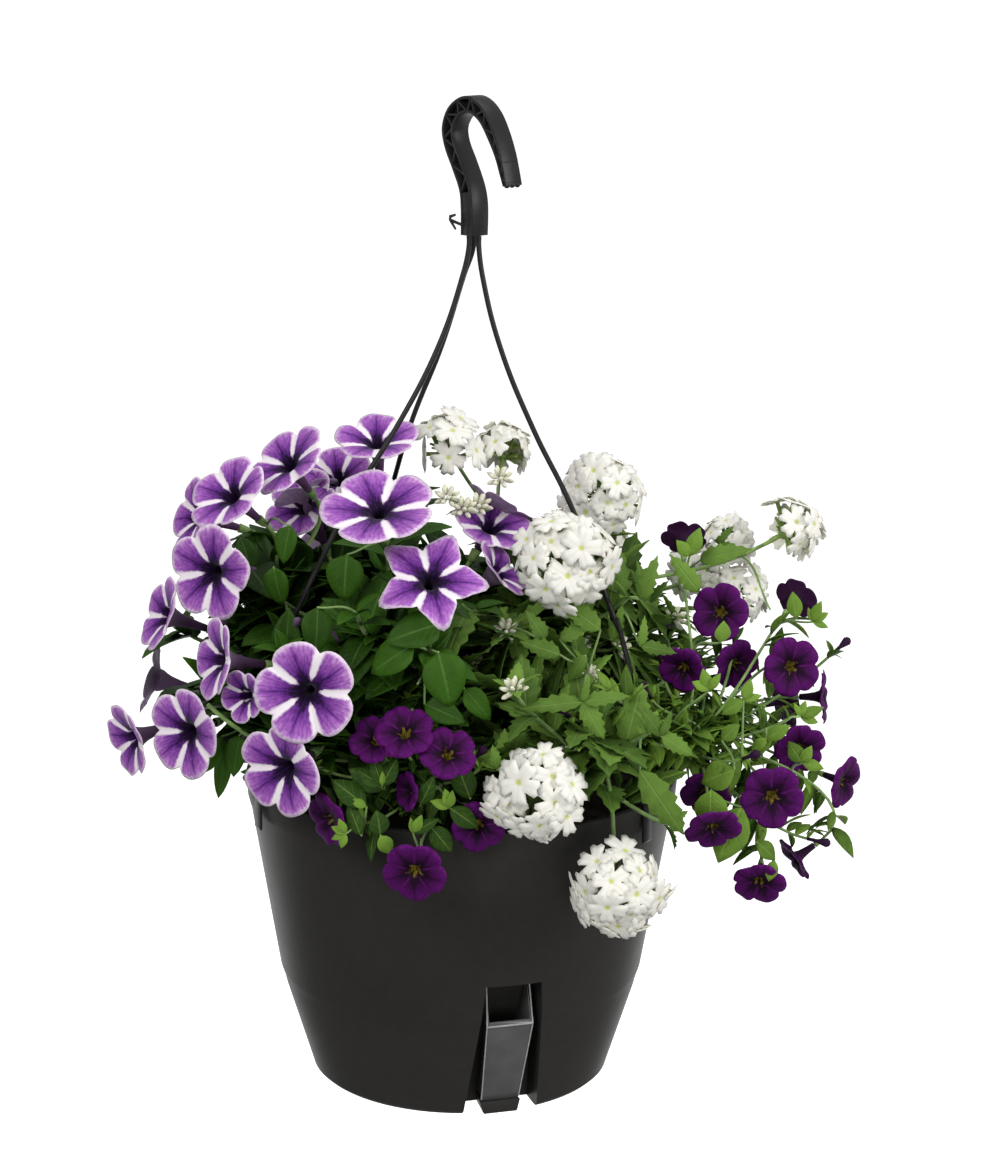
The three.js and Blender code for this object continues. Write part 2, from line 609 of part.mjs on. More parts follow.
// Every curve of one shoot: the main stem first, then the flower stalks, then the twigs
function shootCurves(shoot) {
  const [x, y] = shoot.root;
  const root = V(x, y, soilHeight(Math.hypot(x, y)) - ROOT_DEPTH + CLEAR);
  const hub = V(...shoot.hub);
  const lift = root.clone().addScaledVector(UP, 0.6 * root.distanceTo(hub));
  const lean = hub.clone().addScaledVector(hub.clone().sub(root), -0.25);
  const rise = new THREE.CubicBezierCurve3(root, lift, lean, hub);
  const curves = [{ curve: rise, main: true }];
  const flowers = FLOWERS.filter((f) => f.shoot === shoot.name);
  const ends = flowers.length + shoot.twigs.length;
  const forkAt = (i) => FORK_TOP - ((FORK_TOP - FORK_LOW) * i) / ends;
  flowers.forEach((flower, i) => {
    const direction = facing(flower.face);
    const end = V(...flower.at).addScaledVector(direction, -flower.depth - CLEAR);
    const below = end.clone().addScaledVector(direction, -CUP[flower.kind].length);
    const t = forkAt(i);
    curves.push({
      curve: stalk(rise.getPoint(t), rise.getTangent(t), below, direction, flower.bend),
      flower, end, direction,
    });
  });
  shoot.twigs.forEach((tip, i) => {
    const t = forkAt(flowers.length + i);
    const [from, end] = [rise.getPoint(t), V(...tip)];
    const away = end.clone().sub(from).normalize().add(V(0, 0, 0.25)).normalize();
    curves.push({ curve: stalk(from, rise.getTangent(t), end, away) });
  });
  return curves;
}

const FLOWERS = [
  ...PETUNIAS.map((f, i) => ({ ...f, kind: 'petunia', number: i + 1, depth: PETUNIA_TUBE })),
  ...CALIBRACHOAS.map((f, i) => ({
    ...f, kind: 'calibrachoa', number: i + 1, depth: CALIBRACHOA_TUBE,
  })),
  ...VERBENAS.map((f, i) => ({ ...f, kind: 'verbena', number: i + 1, depth: f.across * 0.54 })),
];
const BLOOMS = {
  petunia: { node: 'petunia', shape: petuniaCorolla, material: PETUNIA_VIOLET },
  calibrachoa: { node: 'calibrachoa', shape: calibrachoaCorolla, material: CALIBRACHOA_PURPLE },
  verbena: { node: 'verbena_head', shape: verbenaHead, material: VERBENA_WHITE },
};

// Each flower in its place; one that touches a neighbour is made one body with it
function makeFlowers() {
  for (const flower of FLOWERS) {
    const { node, shape } = BLOOMS[flower.kind];
    const bloom = shape(flower.across, flower.openFrom);
    const turn = (flower.number - 1) * 1.3;
    const body = solid(placedFacing(bloom, V(...flower.at), facing(flower.face), turn));
    flower.node = flower.fusedWith ?? `${node}_${String(flower.number).padStart(2, '0')}`;
    keep(flower.node, body);
    const host = FLOWERS.find((other) => other.body && other.node === flower.node);
    if (host) host.body = host.body.add(body);
    else flower.body = body;
  }
  for (const { node, body, kind } of FLOWERS) {
    if (body) piece(node, body, BLOOMS[kind].material);
  }
}

// Leaves stand along the stalks at a golden-angle turn, and one that would cross another
// piece is left out, so that nothing of one shoot runs through another
function makeShoot(shoot, number) {
  const { radius, every } = LEAF[shoot.kind];
  const node = `shoot_${shoot.name}`;
  const draw = seededDraw(100 + number);
  const bodies = [];
  const leaves = [];
  for (const { curve, main, flower, end, direction } of shootCurves(shoot)) {
    const [thick, sides, steps] = main ? [radius * MAIN_STEM, 4, 4] : [radius, 3, flower ? 4 : 3];
    bodies.push(solid(rod(curve, thick, sides, steps)));
    if (flower && flower.kind !== 'verbena') bodies.push(solid(cup(flower.kind, end, direction)));
  }
  shootCurves(shoot).forEach(({ curve, main }, branch) => {
    const count = Math.floor(curve.getLength() / every);
    for (let i = 0; i < count; i++) {
      const [a, b, c] = [draw(), draw(), draw()];
      const t = (main ? 0.45 : 0.12) + ((main ? 0.5 : 0.84) * (i + 0.3 + 0.4 * a)) / count;
      const at = curve.getPoint(t);
      const tangent = curve.getTangent(t);
      const turn = (i * 137.5 + branch * 61 + 50 * b) * DEGREE;
      const side = tangent.clone().cross(UP).normalize().applyAxisAngle(tangent, turn);
      const along = side.addScaledVector(tangent, 0.5).addScaledVector(UP, 0.25).normalize();
      const upward = UP.clone().addScaledVector(tangent, 0.3).normalize();
      const body = leafBody(shoot.kind, at, along, upward, 0.75 + 0.4 * c);
      const crossesOwn = leaves.some((other) => body.minGap(other, 0.3) < 0.3);
      if (crossesOwn || !clearOf(node, body, 0.6)) continue;
      leaves.push(body);
    }
  });
  const whole = tidied(largestPiece(joined([...bodies, ...leaves])));
  return { node, whole };
}

function makeSoil(stems) {
  const edge = 129;
  const outside = solid(turned([
    [0, LEDGE_HEIGHT + 3 + 2 * CLEAR], [109.5, LEDGE_HEIGHT + 3 + 2 * CLEAR],
    [edge, SOIL_EDGE], [0, SOIL_EDGE + SOIL_CROWN],
  ]));
  const plug = solid(turned([
    [0, FLOOR + 3], [17.5, FLOOR + 3], [21.2, LEDGE_HEIGHT + 4], [0, LEDGE_HEIGHT + 4],
  ], 8));
  return outside.add(plug).subtract(nicheBlock(WALL + CLEAR)).subtract(joined(stems));
}

function stemHole(shoot) {
  const [x, y] = shoot.root;
  const radius = LEAF[shoot.kind].radius * MAIN_STEM + 2;
  const height = soilHeight(Math.hypot(x, y));
  const hole = new THREE.CylinderGeometry(radius + 1.6, radius, ROOT_DEPTH + 4, 6).rotateX(Math.PI / 2);
  return solid(hole.translate(x, y, height + 4 - (ROOT_DEPTH + 4) / 2));
}

function build() {
  const made = [
    ['pot', makePot(), POT_PLASTIC],
    ['false_floor', makeFalseFloor(), POT_PLASTIC],
    ['spout', makeSpout(), SPOUT_PLASTIC],
    ['spout_foot', makeSpoutFoot(), POT_PLASTIC],
    ['hook', makeHook(), HOOK_PLASTIC],
    ...ARMS.map((arm) => [arm.name, makeArm(arm), HOOK_PLASTIC]),
    ['soil', makeSoil(SHOOTS.map(stemHole)), PEAT],
  ];
  for (const [name, body, material] of made) {
    keep(name, body);
    piece(name, body, material);
  }
  makeFlowers();
  for (const shoot of SHOOTS) {
    const { radius } = LEAF[shoot.kind];
    for (const { curve, main } of shootCurves(shoot)) {
      keep(`shoot_${shoot.name}`, solid(rod(curve, main ? radius * MAIN_STEM : radius, 3, 6)));
    }
  }
  SHOOTS.forEach((shoot, number) => {
    const { node, whole } = makeShoot(shoot, number);
    keep(node, whole);
    piece(node, whole, shoot.kind === 'verbena' ? VERBENA_GREEN : LEAF_GREEN);
  });
}

build();
const saddle = V(SADDLE.s, 0, SADDLE.z).applyAxisAngle(UP, HOOK_TURN).add(V(HOOK_X, 0, 0));
const basket = new THREE.Group();
basket.position.copy(saddle.negate());
basket.add(...meshes);
const hangingBasket = new THREE.Group();
hangingBasket.add(basket);
export default hangingBasket;
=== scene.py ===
# %% [markdown]
# # A petunia hanging basket
# A plastic hanging pot with a filling spout, a hook on three arms, and a mixed planting of
# petunias, calibrachoas and verbenas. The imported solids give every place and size. This lesson
# dresses them: smoother plastic, thin petals, veined leaves and the colours of the real plants.

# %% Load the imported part
import math
import random

import bmesh
import bpy
from mathutils import Matrix, Vector, kdtree, noise


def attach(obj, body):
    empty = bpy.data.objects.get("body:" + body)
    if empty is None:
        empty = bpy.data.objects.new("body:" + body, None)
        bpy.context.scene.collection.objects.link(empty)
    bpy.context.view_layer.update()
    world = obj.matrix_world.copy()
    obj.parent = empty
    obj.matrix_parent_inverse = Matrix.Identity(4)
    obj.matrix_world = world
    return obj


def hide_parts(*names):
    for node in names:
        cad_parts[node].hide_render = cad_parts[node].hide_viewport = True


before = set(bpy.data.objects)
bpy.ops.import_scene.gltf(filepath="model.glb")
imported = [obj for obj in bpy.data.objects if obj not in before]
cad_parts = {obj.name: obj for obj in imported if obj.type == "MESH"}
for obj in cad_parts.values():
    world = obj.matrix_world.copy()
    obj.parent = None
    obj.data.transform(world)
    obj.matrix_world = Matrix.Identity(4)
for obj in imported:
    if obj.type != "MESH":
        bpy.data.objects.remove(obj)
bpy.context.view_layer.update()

print("nodes loaded:", len(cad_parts))

# %% [markdown]
# ## Measures
# A nursery pot is easiest to draw on its own axis, in millimetres up from its foot. The packed
# part is in metres and starts at the hook's saddle, so one matrix carries every finished shape
# over. Each shape is a bmesh that becomes an object last, so every object stays at the origin.

# %% From pot millimetres to the part
SADDLE = Vector((5.669, -0.743, 601.0))
TO_PART = Matrix.Scale(0.001, 4) @ Matrix.Translation(-SADDLE)
UP = Vector((0, 0, 1))


def polar(radius, azimuth, z):
    """A point round the pot's axis, with the azimuth in degrees."""
    angle = math.radians(azimuth)
    return Vector((radius * math.cos(angle), radius * math.sin(angle), z))


def facing(azimuth, height):
    """The direction that a flower faces, from its azimuth and its height above level."""
    level = math.cos(math.radians(height))
    return polar(level, azimuth, math.sin(math.radians(height)))


def aim(direction, turn=0.0):
    """The turn that takes a shape drawn about +Z to a direction."""
    swing = UP.rotation_difference(direction).to_matrix().to_4x4()
    return swing @ Matrix.Rotation(turn, 4, "Z")


def as_mesh(shape, name):
    """A bmesh made a mesh, to be shown or copied."""
    mesh = bpy.data.meshes.new(name)
    shape.to_mesh(mesh)
    shape.free()
    return mesh


def in_scene(name, data):
    """A new object for a mesh, a curve, a lamp or a camera."""
    made = bpy.data.objects.new(name, data)
    bpy.context.collection.objects.link(made)
    return made


def finish_piece(name, shape, finishes, node=None, slot=None, sharp=None):
    """Makes a bmesh in pot millimetres into a piece that rides on the part."""
    shape.transform(TO_PART)
    mesh = as_mesh(shape, name)
    for finish in finishes:
        mesh.materials.append(finish)
    mesh.shade_smooth()
    if sharp:
        mesh.set_sharp_from_angle(angle=math.radians(sharp))
    piece = in_scene(name, mesh)
    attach(piece, "root")
    if node:
        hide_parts(node)
    print(name, "faces:", len(mesh.polygons))


print("pot rim lies at", [round(x, 3) for x in TO_PART @ Vector((135, 0, 195))])

# %% [markdown]
# ## Camera, floor and light
# The basket hangs, so the pale floor lies well below the pot and takes no hard shadow. The camera
# looks slightly down from the front through a long lens, as in a catalogue picture. A white sky
# does most of the lighting, and four large soft lamps add gentle highlights on the plastic.

# %% Camera
PITCH, YAW, ROLL = map(math.radians, (13.66, 0.72, 0.59))
FOCAL_PIXELS = 3000
LONG_SIDE_PIXELS = 1168
SENSOR = 36.0

forward = Vector((math.sin(YAW) * math.cos(PITCH), math.cos(YAW) * math.cos(PITCH),
                  -math.sin(PITCH)))
level_right = forward.cross(UP).normalized()
level_up = level_right.cross(forward)
right = level_right * math.cos(ROLL) + level_up * math.sin(ROLL)
upward = level_up * math.cos(ROLL) - level_right * math.sin(ROLL)
eye = Vector((0, -1800, 750))

camera_data = bpy.data.cameras.new("camera")
camera_data.sensor_width = SENSOR
camera_data.lens = FOCAL_PIXELS * SENSOR / LONG_SIDE_PIXELS
camera = in_scene("camera", camera_data)
axes = Matrix((right, upward, -forward)).transposed().to_4x4()
camera.matrix_world = Matrix.Translation(TO_PART @ eye) @ axes
bpy.context.scene.camera = camera
print("lens", round(camera_data.lens, 1), "mm")


def seen(point):
    """Where the camera sees a point in pot millimetres: across, up and how far away."""
    across, height, away = ((point - eye).dot(axis) for axis in (right, upward, forward))
    return FOCAL_PIXELS * across / away, FOCAL_PIXELS * height / away, away


# %% Lights
PLANTING_MIDDLE = Vector((0, 0, -0.32))
world = bpy.data.worlds.new("white room")
world.use_nodes = True
sky = world.node_tree.nodes["Background"].inputs
sky["Color"].default_value = (1, 1, 1, 1)
sky["Strength"].default_value = 0.4
bpy.context.scene.world = world
bpy.context.scene.view_settings.view_transform = "Standard"


def soft_lamp(name, place, size, watts):
    """A square soft lamp that points at the middle of the planting."""
    data = bpy.data.lights.new(name, "AREA")
    data.size = size
    data.energy = watts
    toward = PLANTING_MIDDLE - Vector(place)
    turn = toward.to_track_quat("-Z", "Y").to_matrix().to_4x4()
    in_scene(name, data).matrix_world = Matrix.Translation(place) @ turn


soft_lamp("lamp left", (-1.0, -1.5, 0.9), 1.0, 22)
soft_lamp("lamp front", (0.45, -1.7, -0.4), 0.6, 7)
soft_lamp("lamp right", (1.5, -0.7, 0.4), 0.8, 17)
soft_lamp("lamp above", (0.1, 0.2, 1.4), 1.2, 12)
print("lamps:", len(bpy.data.lights))

# %% [markdown]
# ## Shader sums as plain Python
# A petal's pattern is a sum: how far out, how far from the seam, how far from the mid-vein. Node
# by node that is hard to read, so one small class wraps a socket and lets ordinary operators add
# the Math nodes. Every other node comes from its one method.

# %% The wire class
class Wire:
    """A number, colour or vector that runs between shader nodes."""

    def __init__(self, tree, socket):
        self.tree = tree
        self.socket = socket

    def node(self, kind, settings, values, output=0):
        """Adds a node: its settings first, then the wires, numbers or paint codes of its sockets."""
        made = self.tree.nodes.new(kind)
        for name, value in settings.items():
            if name == "stops":
                set_stops(made.color_ramp, value)
            else:
                setattr(made, name, value)
        for name, value in values.items():
            if isinstance(value, Wire):
                self.tree.links.new(value.socket, made.inputs[name])
            else:
                made.inputs[name].default_value = paint(value) if isinstance(value, str) else value
        return Wire(self.tree, made.outputs[output])

    def math(self, operation, first, second=0.0, clamp=False):
        settings = {"operation": operation, "use_clamp": clamp}
        return self.node("ShaderNodeMath", settings, {0: first, 1: second})

    def __abs__(self):
        return self.math("ABSOLUTE", self)

    def rising(self, low, high):
        """0 below low, 1 above high, and a straight ramp between; falls if high is the lower."""
        return self.math("MULTIPLY", self - low, 1.0 / (high - low), clamp=True)

    def mix(self, first, second):
        """A colour between two, with this wire as the share of the second."""
        return self.node("ShaderNodeMix", {"data_type": "RGBA"}, {0: self, 6: first, 7: second}, 2)

    def parts(self):
        """The three parts of a vector."""
        split = self.tree.nodes.new("ShaderNodeSeparateXYZ")
        self.tree.links.new(self.socket, split.inputs[0])
        return [Wire(self.tree, out) for out in split.outputs]

    def speckle(self, scale, detail=3.0):
        """A cloudy noise from 0 to 1 over this vector."""
        return self.node("ShaderNodeTexNoise", {}, {"Vector": self, "Scale": scale, "Detail": detail})

    def into(self, shader, name="Base Color"):
        self.tree.links.new(self.socket, shader.inputs[name])


def add_operator(name, operation):
    """Gives Wire an operator, and its reflected form for a number on the left."""
    setattr(Wire, f"__{name}__", lambda self, other: self.math(operation, self, other))
    setattr(Wire, f"__r{name}__", lambda self, other: self.math(operation, other, self))


for name, operation in (("add", "ADD"), ("sub", "SUBTRACT"), ("mul", "MULTIPLY"),
                        ("truediv", "DIVIDE"), ("pow", "POWER")):
    add_operator(name, operation)


def set_stops(ramp, stops):
    """Sets a colour ramp from pairs of place and paint code."""
    while len(ramp.elements) < len(stops):
        ramp.elements.new(1.0)
    for element, (place, code) in zip(ramp.elements, stops):
        element.position = place
        element.color = paint(code)


def paint(code):
    """A screen colour such as 8a55b4 as the light values that shaders use."""
    shares = [int(code[i:i + 2], 16) / 255 for i in (0, 2, 4)]
    return (*[s / 12.92 if s < 0.04045 else ((s + 0.055) / 1.055) ** 2.4 for s in shares], 1.0)


def new_finish(name, settings, attribute=None):
    """A material, its shader, and wires at Object coordinates and at a mesh attribute."""
    material = bpy.data.materials.new(name)
    material.use_nodes = True
    tree = material.node_tree
    shader = tree.nodes["Principled BSDF"]
    for socket, value in settings.items():
        shader.inputs[socket].default_value = value
    place = Wire(tree, tree.nodes.new("ShaderNodeTexCoord").outputs["Object"])
    if attribute is None:
        return material, shader, place
    shares = place.node("ShaderNodeAttribute", {"attribute_name": attribute}, {}, "Vector")
    return material, shader, place, shares


def bump(height, shader, strength, distance):
    """Lets a height raise the surface, with the distance in metres."""
    values = {"Strength": strength, "Distance": distance, "Height": height}
    height.node("ShaderNodeBump", {}, values).into(shader, "Normal")


def mottled(name, settings, colours, cloud, spread, grain=None):
    """A finish that wavers between two colours, with a grain of scale, detail, strength, depth."""
    material, shader, place = new_finish(name, settings)
    place.speckle(*cloud).rising(*spread).mix(*colours).into(shader)
    if grain:
        scale, detail, strength, depth = grain
        bump(place.speckle(scale, detail), shader, strength, depth)
    return material


print("dark charcoal is", [round(x, 3) for x in paint("2d2c2a")])

# %% [markdown]
# ## The floor
# The pale floor lies well below, as under a hanging basket. Its paper glows with painted light
# behind the object and is painted dark and dull in front as painted shade, so that the ground
# shows white and the pot stays dark.

# %% Floor
bpy.ops.mesh.primitive_plane_add(size=80, location=(0, 30, -1.05))
floor = bpy.context.object
floor.name = "floor"
paper, shader, place = new_finish("white paper with painted glow", {"Roughness": 1.0, "Emission Strength": 0.75})
# Painted light and shade: the floor glows and is pale behind the object, and is dark and dull in front
behind = (place.parts()[1] + 30.0).rising(0.35, 0.9)
behind.mix((0.08, 0.08, 0.08, 1), (1, 1, 1, 1)).into(shader, "Emission Color")
behind.mix((0.35, 0.35, 0.35, 1), (0.9, 0.9, 0.9, 1)).into(shader)
floor.data.materials.append(paper)
print("floor lies", floor.location.z, "m from the hook")

# %% [markdown]
# ## The plastics
# The pot is moulded polypropylene: charcoal, satin, with a hint of mottling where the melt flowed
# and a very fine grain. The hanger is the same plastic, a little shinier. The filling spout is a
# cloudy grey see-through moulding. Its cut edges gather light, and that light is painted on beads
# along them as a nearly white grey: a painted highlight.

# %% Plastic finishes
def moulded_plastic(name, colours, roughness, grain, shine):
    """Satin plastic with flow marks in its gloss and a fine grain."""
    material, shader, place = new_finish(name, {"Specular IOR Level": shine})
    clouds = place.speckle(14.0)
    dust = place.speckle(160.0, 5.0)
    (clouds * 0.6 + dust * 0.4).rising(0.3, 0.8).mix(*colours).into(shader)
    (roughness + (clouds - 0.5) * 0.16 + (dust - 0.5) * 0.08).into(shader, "Roughness")
    bump(place.speckle(grain, 2.0), shader, 0.12, 0.0003)
    return material


POT_PLASTIC = moulded_plastic("pot plastic", ("2b2a28", "32312f"), 0.38, 900.0, 0.04)
HANGER_PLASTIC = moulded_plastic("hanger plastic", ("202020", "292929"), 0.34, 1200.0, 0.16)
SPOUT_PLASTIC = mottled("spout plastic", {"Roughness": 0.24, "Transmission Weight": 0.25, "IOR": 1.46},
                        ("484848", "5c5c5c"), (60.0,), (0.2, 0.8), (400.0, 3.0, 0.08, 0.0003))
# Painted highlight: the edge beads are painted light grey for the light that the cut edges gather
EDGE_HIGHLIGHT_PLASTIC = mottled("spout edge painted highlight", {"Roughness": 0.2, "IOR": 1.46}, ("858585", "adadad"),
                       (300.0,), (0.2, 0.9))
print("plastics:", POT_PLASTIC.name, HANGER_PLASTIC.name, SPOUT_PLASTIC.name)

# %% [markdown]
# ## Turned shapes and cuts
# The pot is round, so its section is drawn once and spun. The niche for the spout is a tapered
# block taken away from it. Blender's Boolean modifier does the cut on two short-lived objects.

# %% Turning and cutting
def turned(profile, steps):
    """Spins pairs of radius and height round the Z axis into a closed shape."""
    shape = bmesh.new()
    points = [shape.verts.new((radius, 0, height)) for radius, height in profile]
    edges = [shape.edges.new(pair) for pair in zip(points, points[1:])]
    bmesh.ops.spin(shape, geom=points + edges, cent=(0, 0, 0), axis=(0, 0, 1),
                   angle=math.tau, steps=steps, use_merge=True)
    bmesh.ops.remove_doubles(shape, verts=shape.verts, dist=1e-4)
    bmesh.ops.recalc_face_normals(shape, faces=shape.faces)
    return shape


def turn_to(shape, azimuth):
    """Turns a shape about the pot's axis."""
    turn = Matrix.Rotation(math.radians(azimuth), 3, "Z")
    bmesh.ops.rotate(shape, matrix=turn, verts=shape.verts)
    return shape


def as_bmesh(maker):
    """An object's shape with its modifiers applied, after which the object is removed."""
    bpy.context.view_layer.update()
    mesh = bpy.data.meshes.new_from_object(maker.evaluated_get(bpy.context.evaluated_depsgraph_get()))
    bpy.data.objects.remove(maker)
    shape = bmesh.new()
    add_mesh(shape, mesh)
    return shape


def add_mesh(shape, mesh):
    """Adds a mesh that isn't needed any more."""
    shape.from_mesh(mesh)
    bpy.data.meshes.remove(mesh)


def add_shape(target, extra):
    """Adds one bmesh to another."""
    add_mesh(target, as_mesh(extra, "extra"))


def cut(shape, taken):
    """Takes one bmesh away from another."""
    target = in_scene("target", as_mesh(shape, "target"))
    tool = in_scene("tool", as_mesh(taken, "tool"))
    modifier = target.modifiers.new("cut", "BOOLEAN")
    modifier.operation = "DIFFERENCE"
    modifier.object = tool
    modifier.solver = "EXACT"
    result = as_bmesh(target)
    bpy.data.objects.remove(tool)
    return result


def tapered_block(azimuth, bottom, top):
    """A block at an azimuth between two levels of z, back, front, width and rear width."""
    shape = bmesh.new()
    bmesh.ops.create_cube(shape, size=1)
    for vert in shape.verts:
        z, back, front, width, rear = top if vert.co.z > 0 else bottom
        radius, across = (front, width) if vert.co.x > 0 else (back, rear)
        vert.co = Vector((radius, vert.co.y * across, z))
    return turn_to(shape, azimuth)


def outline_solid(outline, thickness, azimuth=0):
    """A flat outline of radius and height, given a thickness across its plane."""
    shape = bmesh.new()
    face = shape.faces.new([shape.verts.new((r, -thickness / 2, z)) for r, z in outline])
    grown = bmesh.ops.extrude_face_region(shape, geom=[face])
    moved = [v for v in grown["geom"] if isinstance(v, bmesh.types.BMVert)]
    bmesh.ops.translate(shape, vec=(0, thickness, 0), verts=moved)
    bmesh.ops.recalc_face_normals(shape, faces=shape.faces)
    return turn_to(shape, azimuth)


def softened(shape, width, angle=30):
    """Rounds every edge that is sharper than an angle."""
    bmesh.ops.remove_doubles(shape, verts=shape.verts, dist=0.01)
    bmesh.ops.dissolve_limit(shape, angle_limit=math.radians(1), verts=shape.verts, edges=shape.edges)
    sharp = [e for e in shape.edges if len(e.link_faces) == 2
             and e.calc_face_angle(0) > math.radians(angle)]
    bmesh.ops.bevel(shape, geom=sharp, offset=width, segments=2, profile=0.5,
                    affect="EDGES", material=-1, clamp_overlap=True)
    return shape


# %% [markdown]
# ## The pot
# The wall flares in two stages: a narrower foot that holds the water reserve, then a step, then
# the body up to a rim band. The section follows the solid, with rounder corners, and its step is
# a little higher and shallower, as the picture shows it.

# %% Pot
POT_OUTSIDE = [
    (0, 0), (86, 0), (91, 0.8), (93.6, 3.2), (95, 8), (110.8, 58.6), (112, 63.8), (112.9, 66.2),
    (114.1, 69.6), (132.1, 175.4), (133, 177.4), (133.9, 181), (134.9, 193.2), (134.4, 194.6),
    (133, 195.1), (0, 195.1),
]
POT_INSIDE = [
    (0, 3), (89, 3), (106.6, 59), (109.9, 59), (111.2, 68), (129.8, 176), (131, 178), (131.3, 194),
    (131.8, 197), (0, 197),
]
WALL = 2.3
NICHE = 286
NICHE_HEIGHT = 93
NICHE_WIDTH, NICHE_NARROWING = 47, 12
NICHE_BACK, NICHE_LEAN = 69, 25
WATER_WAY = (12, 55, 80, 14, 14), (20, 55, 80, 14, 14)


def niche_level(z, margin):
    """One level of the niche's block, grown outwards by a margin."""
    width = NICHE_WIDTH - NICHE_NARROWING * z / NICHE_HEIGHT + 2 * margin
    return z, NICHE_BACK + NICHE_LEAN * z / NICHE_HEIGHT - margin, 145, width, width


def niche_block(margin):
    return tapered_block(NICHE, niche_level(-5, margin), niche_level(NICHE_HEIGHT + margin, margin))


hollow = cut(turned(POT_INSIDE, 96), niche_block(WALL))
pot = cut(turned(POT_OUTSIDE, 96), hollow)
pot = cut(cut(pot, niche_block(0)), tapered_block(NICHE, *WATER_WAY))
bmesh.ops.remove_doubles(pot, verts=pot.verts, dist=0.02)
finish_piece("pot_shell", pot, [POT_PLASTIC], "pot", "pot_plastic", sharp=28)

# %% [markdown]
# ## The filling spout
# A thin tray stands in the niche on a dark foot. Water poured in at its slanted mouth runs down
# to the reserve. Fine beads along its edges, painted nearly white, are a painted highlight for the
# bright lines of light in the cut plastic.

# %% Spout and foot
SPOUT_BOTTOM = (8.3, 71.8, 89.4, 23.6, 18.4)
SPOUT_TOP = (96, 95.4, 120.4, 31.8, 23.8)
SHEET = 1.6
SLANT = [(140, 64.5), (109, 64.5), (100.5, 89), (80, 91), (80, 120), (140, 120)]


def spout_hollow(level, z):
    """The inside of the tray at one level, open to the back."""
    _, _, front, width, rear = level
    return z, 60, front - SHEET, width - 2 * SHEET, rear - 2 * SHEET


inside = tapered_block(NICHE, spout_hollow(SPOUT_BOTTOM, 9.9), spout_hollow(SPOUT_TOP, 96.5))
tray = cut(tapered_block(NICHE, SPOUT_BOTTOM, SPOUT_TOP), inside)
tray = softened(cut(tray, outline_solid(SLANT, 60, NICHE)), 0.35)
finish_piece("spout_tray", tray, [SPOUT_PLASTIC], "spout", "spout_plastic", sharp=40)
foot = softened(tapered_block(NICHE, (0, 71, 91.6, 21.5, 19), (8, 73, 91.2, 25.8, 21)), 0.8)
finish_piece("spout_stand", foot, [POT_PLASTIC], "spout_foot", "pot_plastic", sharp=40)

# %% [markdown]
# ## Stems, rods and beads
# A stem is a curve with a thickness. Blender's curves give it round and smooth, and one curve
# object can hold a whole shoot. It is made a mesh at once, so that stems and leaves join into one
# piece. Each path is two ends with the two handles of a cubic curve, or a row of points.

# %% Rods from curves
def rods(paths, sides, steps):
    """Round rods along paths of points, radii and perhaps two handles, as one bmesh."""
    data = bpy.data.curves.new("rods", "CURVE")
    data.dimensions = "3D"
    data.bevel_depth = 1.0
    data.bevel_resolution = (sides - 4) // 2
    data.resolution_u = steps
    data.use_fill_caps = True
    for points, radii, *handles in paths:
        knots = data.splines.new("BEZIER").bezier_points
        knots.add(len(points) - 1)
        for knot, point, radius in zip(knots, points, radii):
            knot.co = point
            knot.radius = radius
            knot.handle_left_type = knot.handle_right_type = "FREE" if handles else "AUTO"
        if handles:
            first, last = knots
            first.handle_right, last.handle_left = handles
            first.handle_left = first.co * 2 - first.handle_right
            last.handle_right = last.co * 2 - last.handle_left
    return as_bmesh(in_scene("rods", data))


def along_edge(at_front, side, z):
    """The point at a height of the spout's front or back edge, on the side +1 or -1."""
    ends = []
    for level, back, front, width, rear in (SPOUT_BOTTOM, SPOUT_TOP):
        radius, half = (front, width / 2) if at_front else (back, rear / 2)
        turn = Matrix.Rotation(math.radians(NICHE), 4, "Z")
        ends.append(turn @ Vector((radius, side * half, level)))
    return ends[0].lerp(ends[1], (z - SPOUT_BOTTOM[0]) / (SPOUT_TOP[0] - SPOUT_BOTTOM[0]))


beads = []
for side in (-1, 1):
    low, lip = along_edge(True, side, 9.2), along_edge(True, side, 64.0)
    back_top = along_edge(False, side, 91.0)
    step = lip.lerp(back_top, 0.36) + Vector((0, 0, 15.5))
    for ends, radius in (((low, lip), 0.42), ((lip, step), 0.5), ((step, back_top), 0.42)):
        beads.append((ends, (radius, radius)))
beads.append(([along_edge(True, side, 64.2) for side in (-1, 1)], (0.62, 0.62)))
# The beads carry the painted highlight of the spout's bright edges
finish_piece("spout_highlight_beads", rods(beads, 8, 2), [EDGE_HIGHLIGHT_PLASTIC])

# %% [markdown]
# ## The hook and its arms
# The hook is moulded like a small girder: a thin web, a flange along each edge of it, and zig-zag
# ribs between the flanges. It is drawn from its two edges, read along the picture, and then
# turned to its place. The small arrow at the neck is the barb that locks the moulding. The three
# arms are slim round rods that bow outwards, flatten into paddles and clip over the rim.

# %% Hook edges
NECK = 527.65
FLANGE = 1.9
HOOK_WIDTH = 13
HOOK_SHIFT = 5
OUTER_EDGE = [
    (-5.2, 528), (-5.4, 544), (-7, 555), (-13.6, 567.5), (-20.2, 579), (-23, 590.5),
    (-18.8, 601.5), (-10.8, 608.2), (-1.4, 611), (8.4, 608.4), (17, 601.5), (24.2, 590.4),
    (29.6, 578.4), (33, 567.4), (34.8, 560.6),
]
INNER_EDGE = [
    (5.2, 528), (5.4, 545), (2.8, 557), (-4.4, 571), (-11, 582), (-12.9, 590.5), (-9.4, 597),
    (-4.8, 600.3), (1, 601), (5.8, 599.4), (11.4, 595.4), (18, 586.8), (24.4, 576.6), (29, 566),
    (31.6, 560),
]


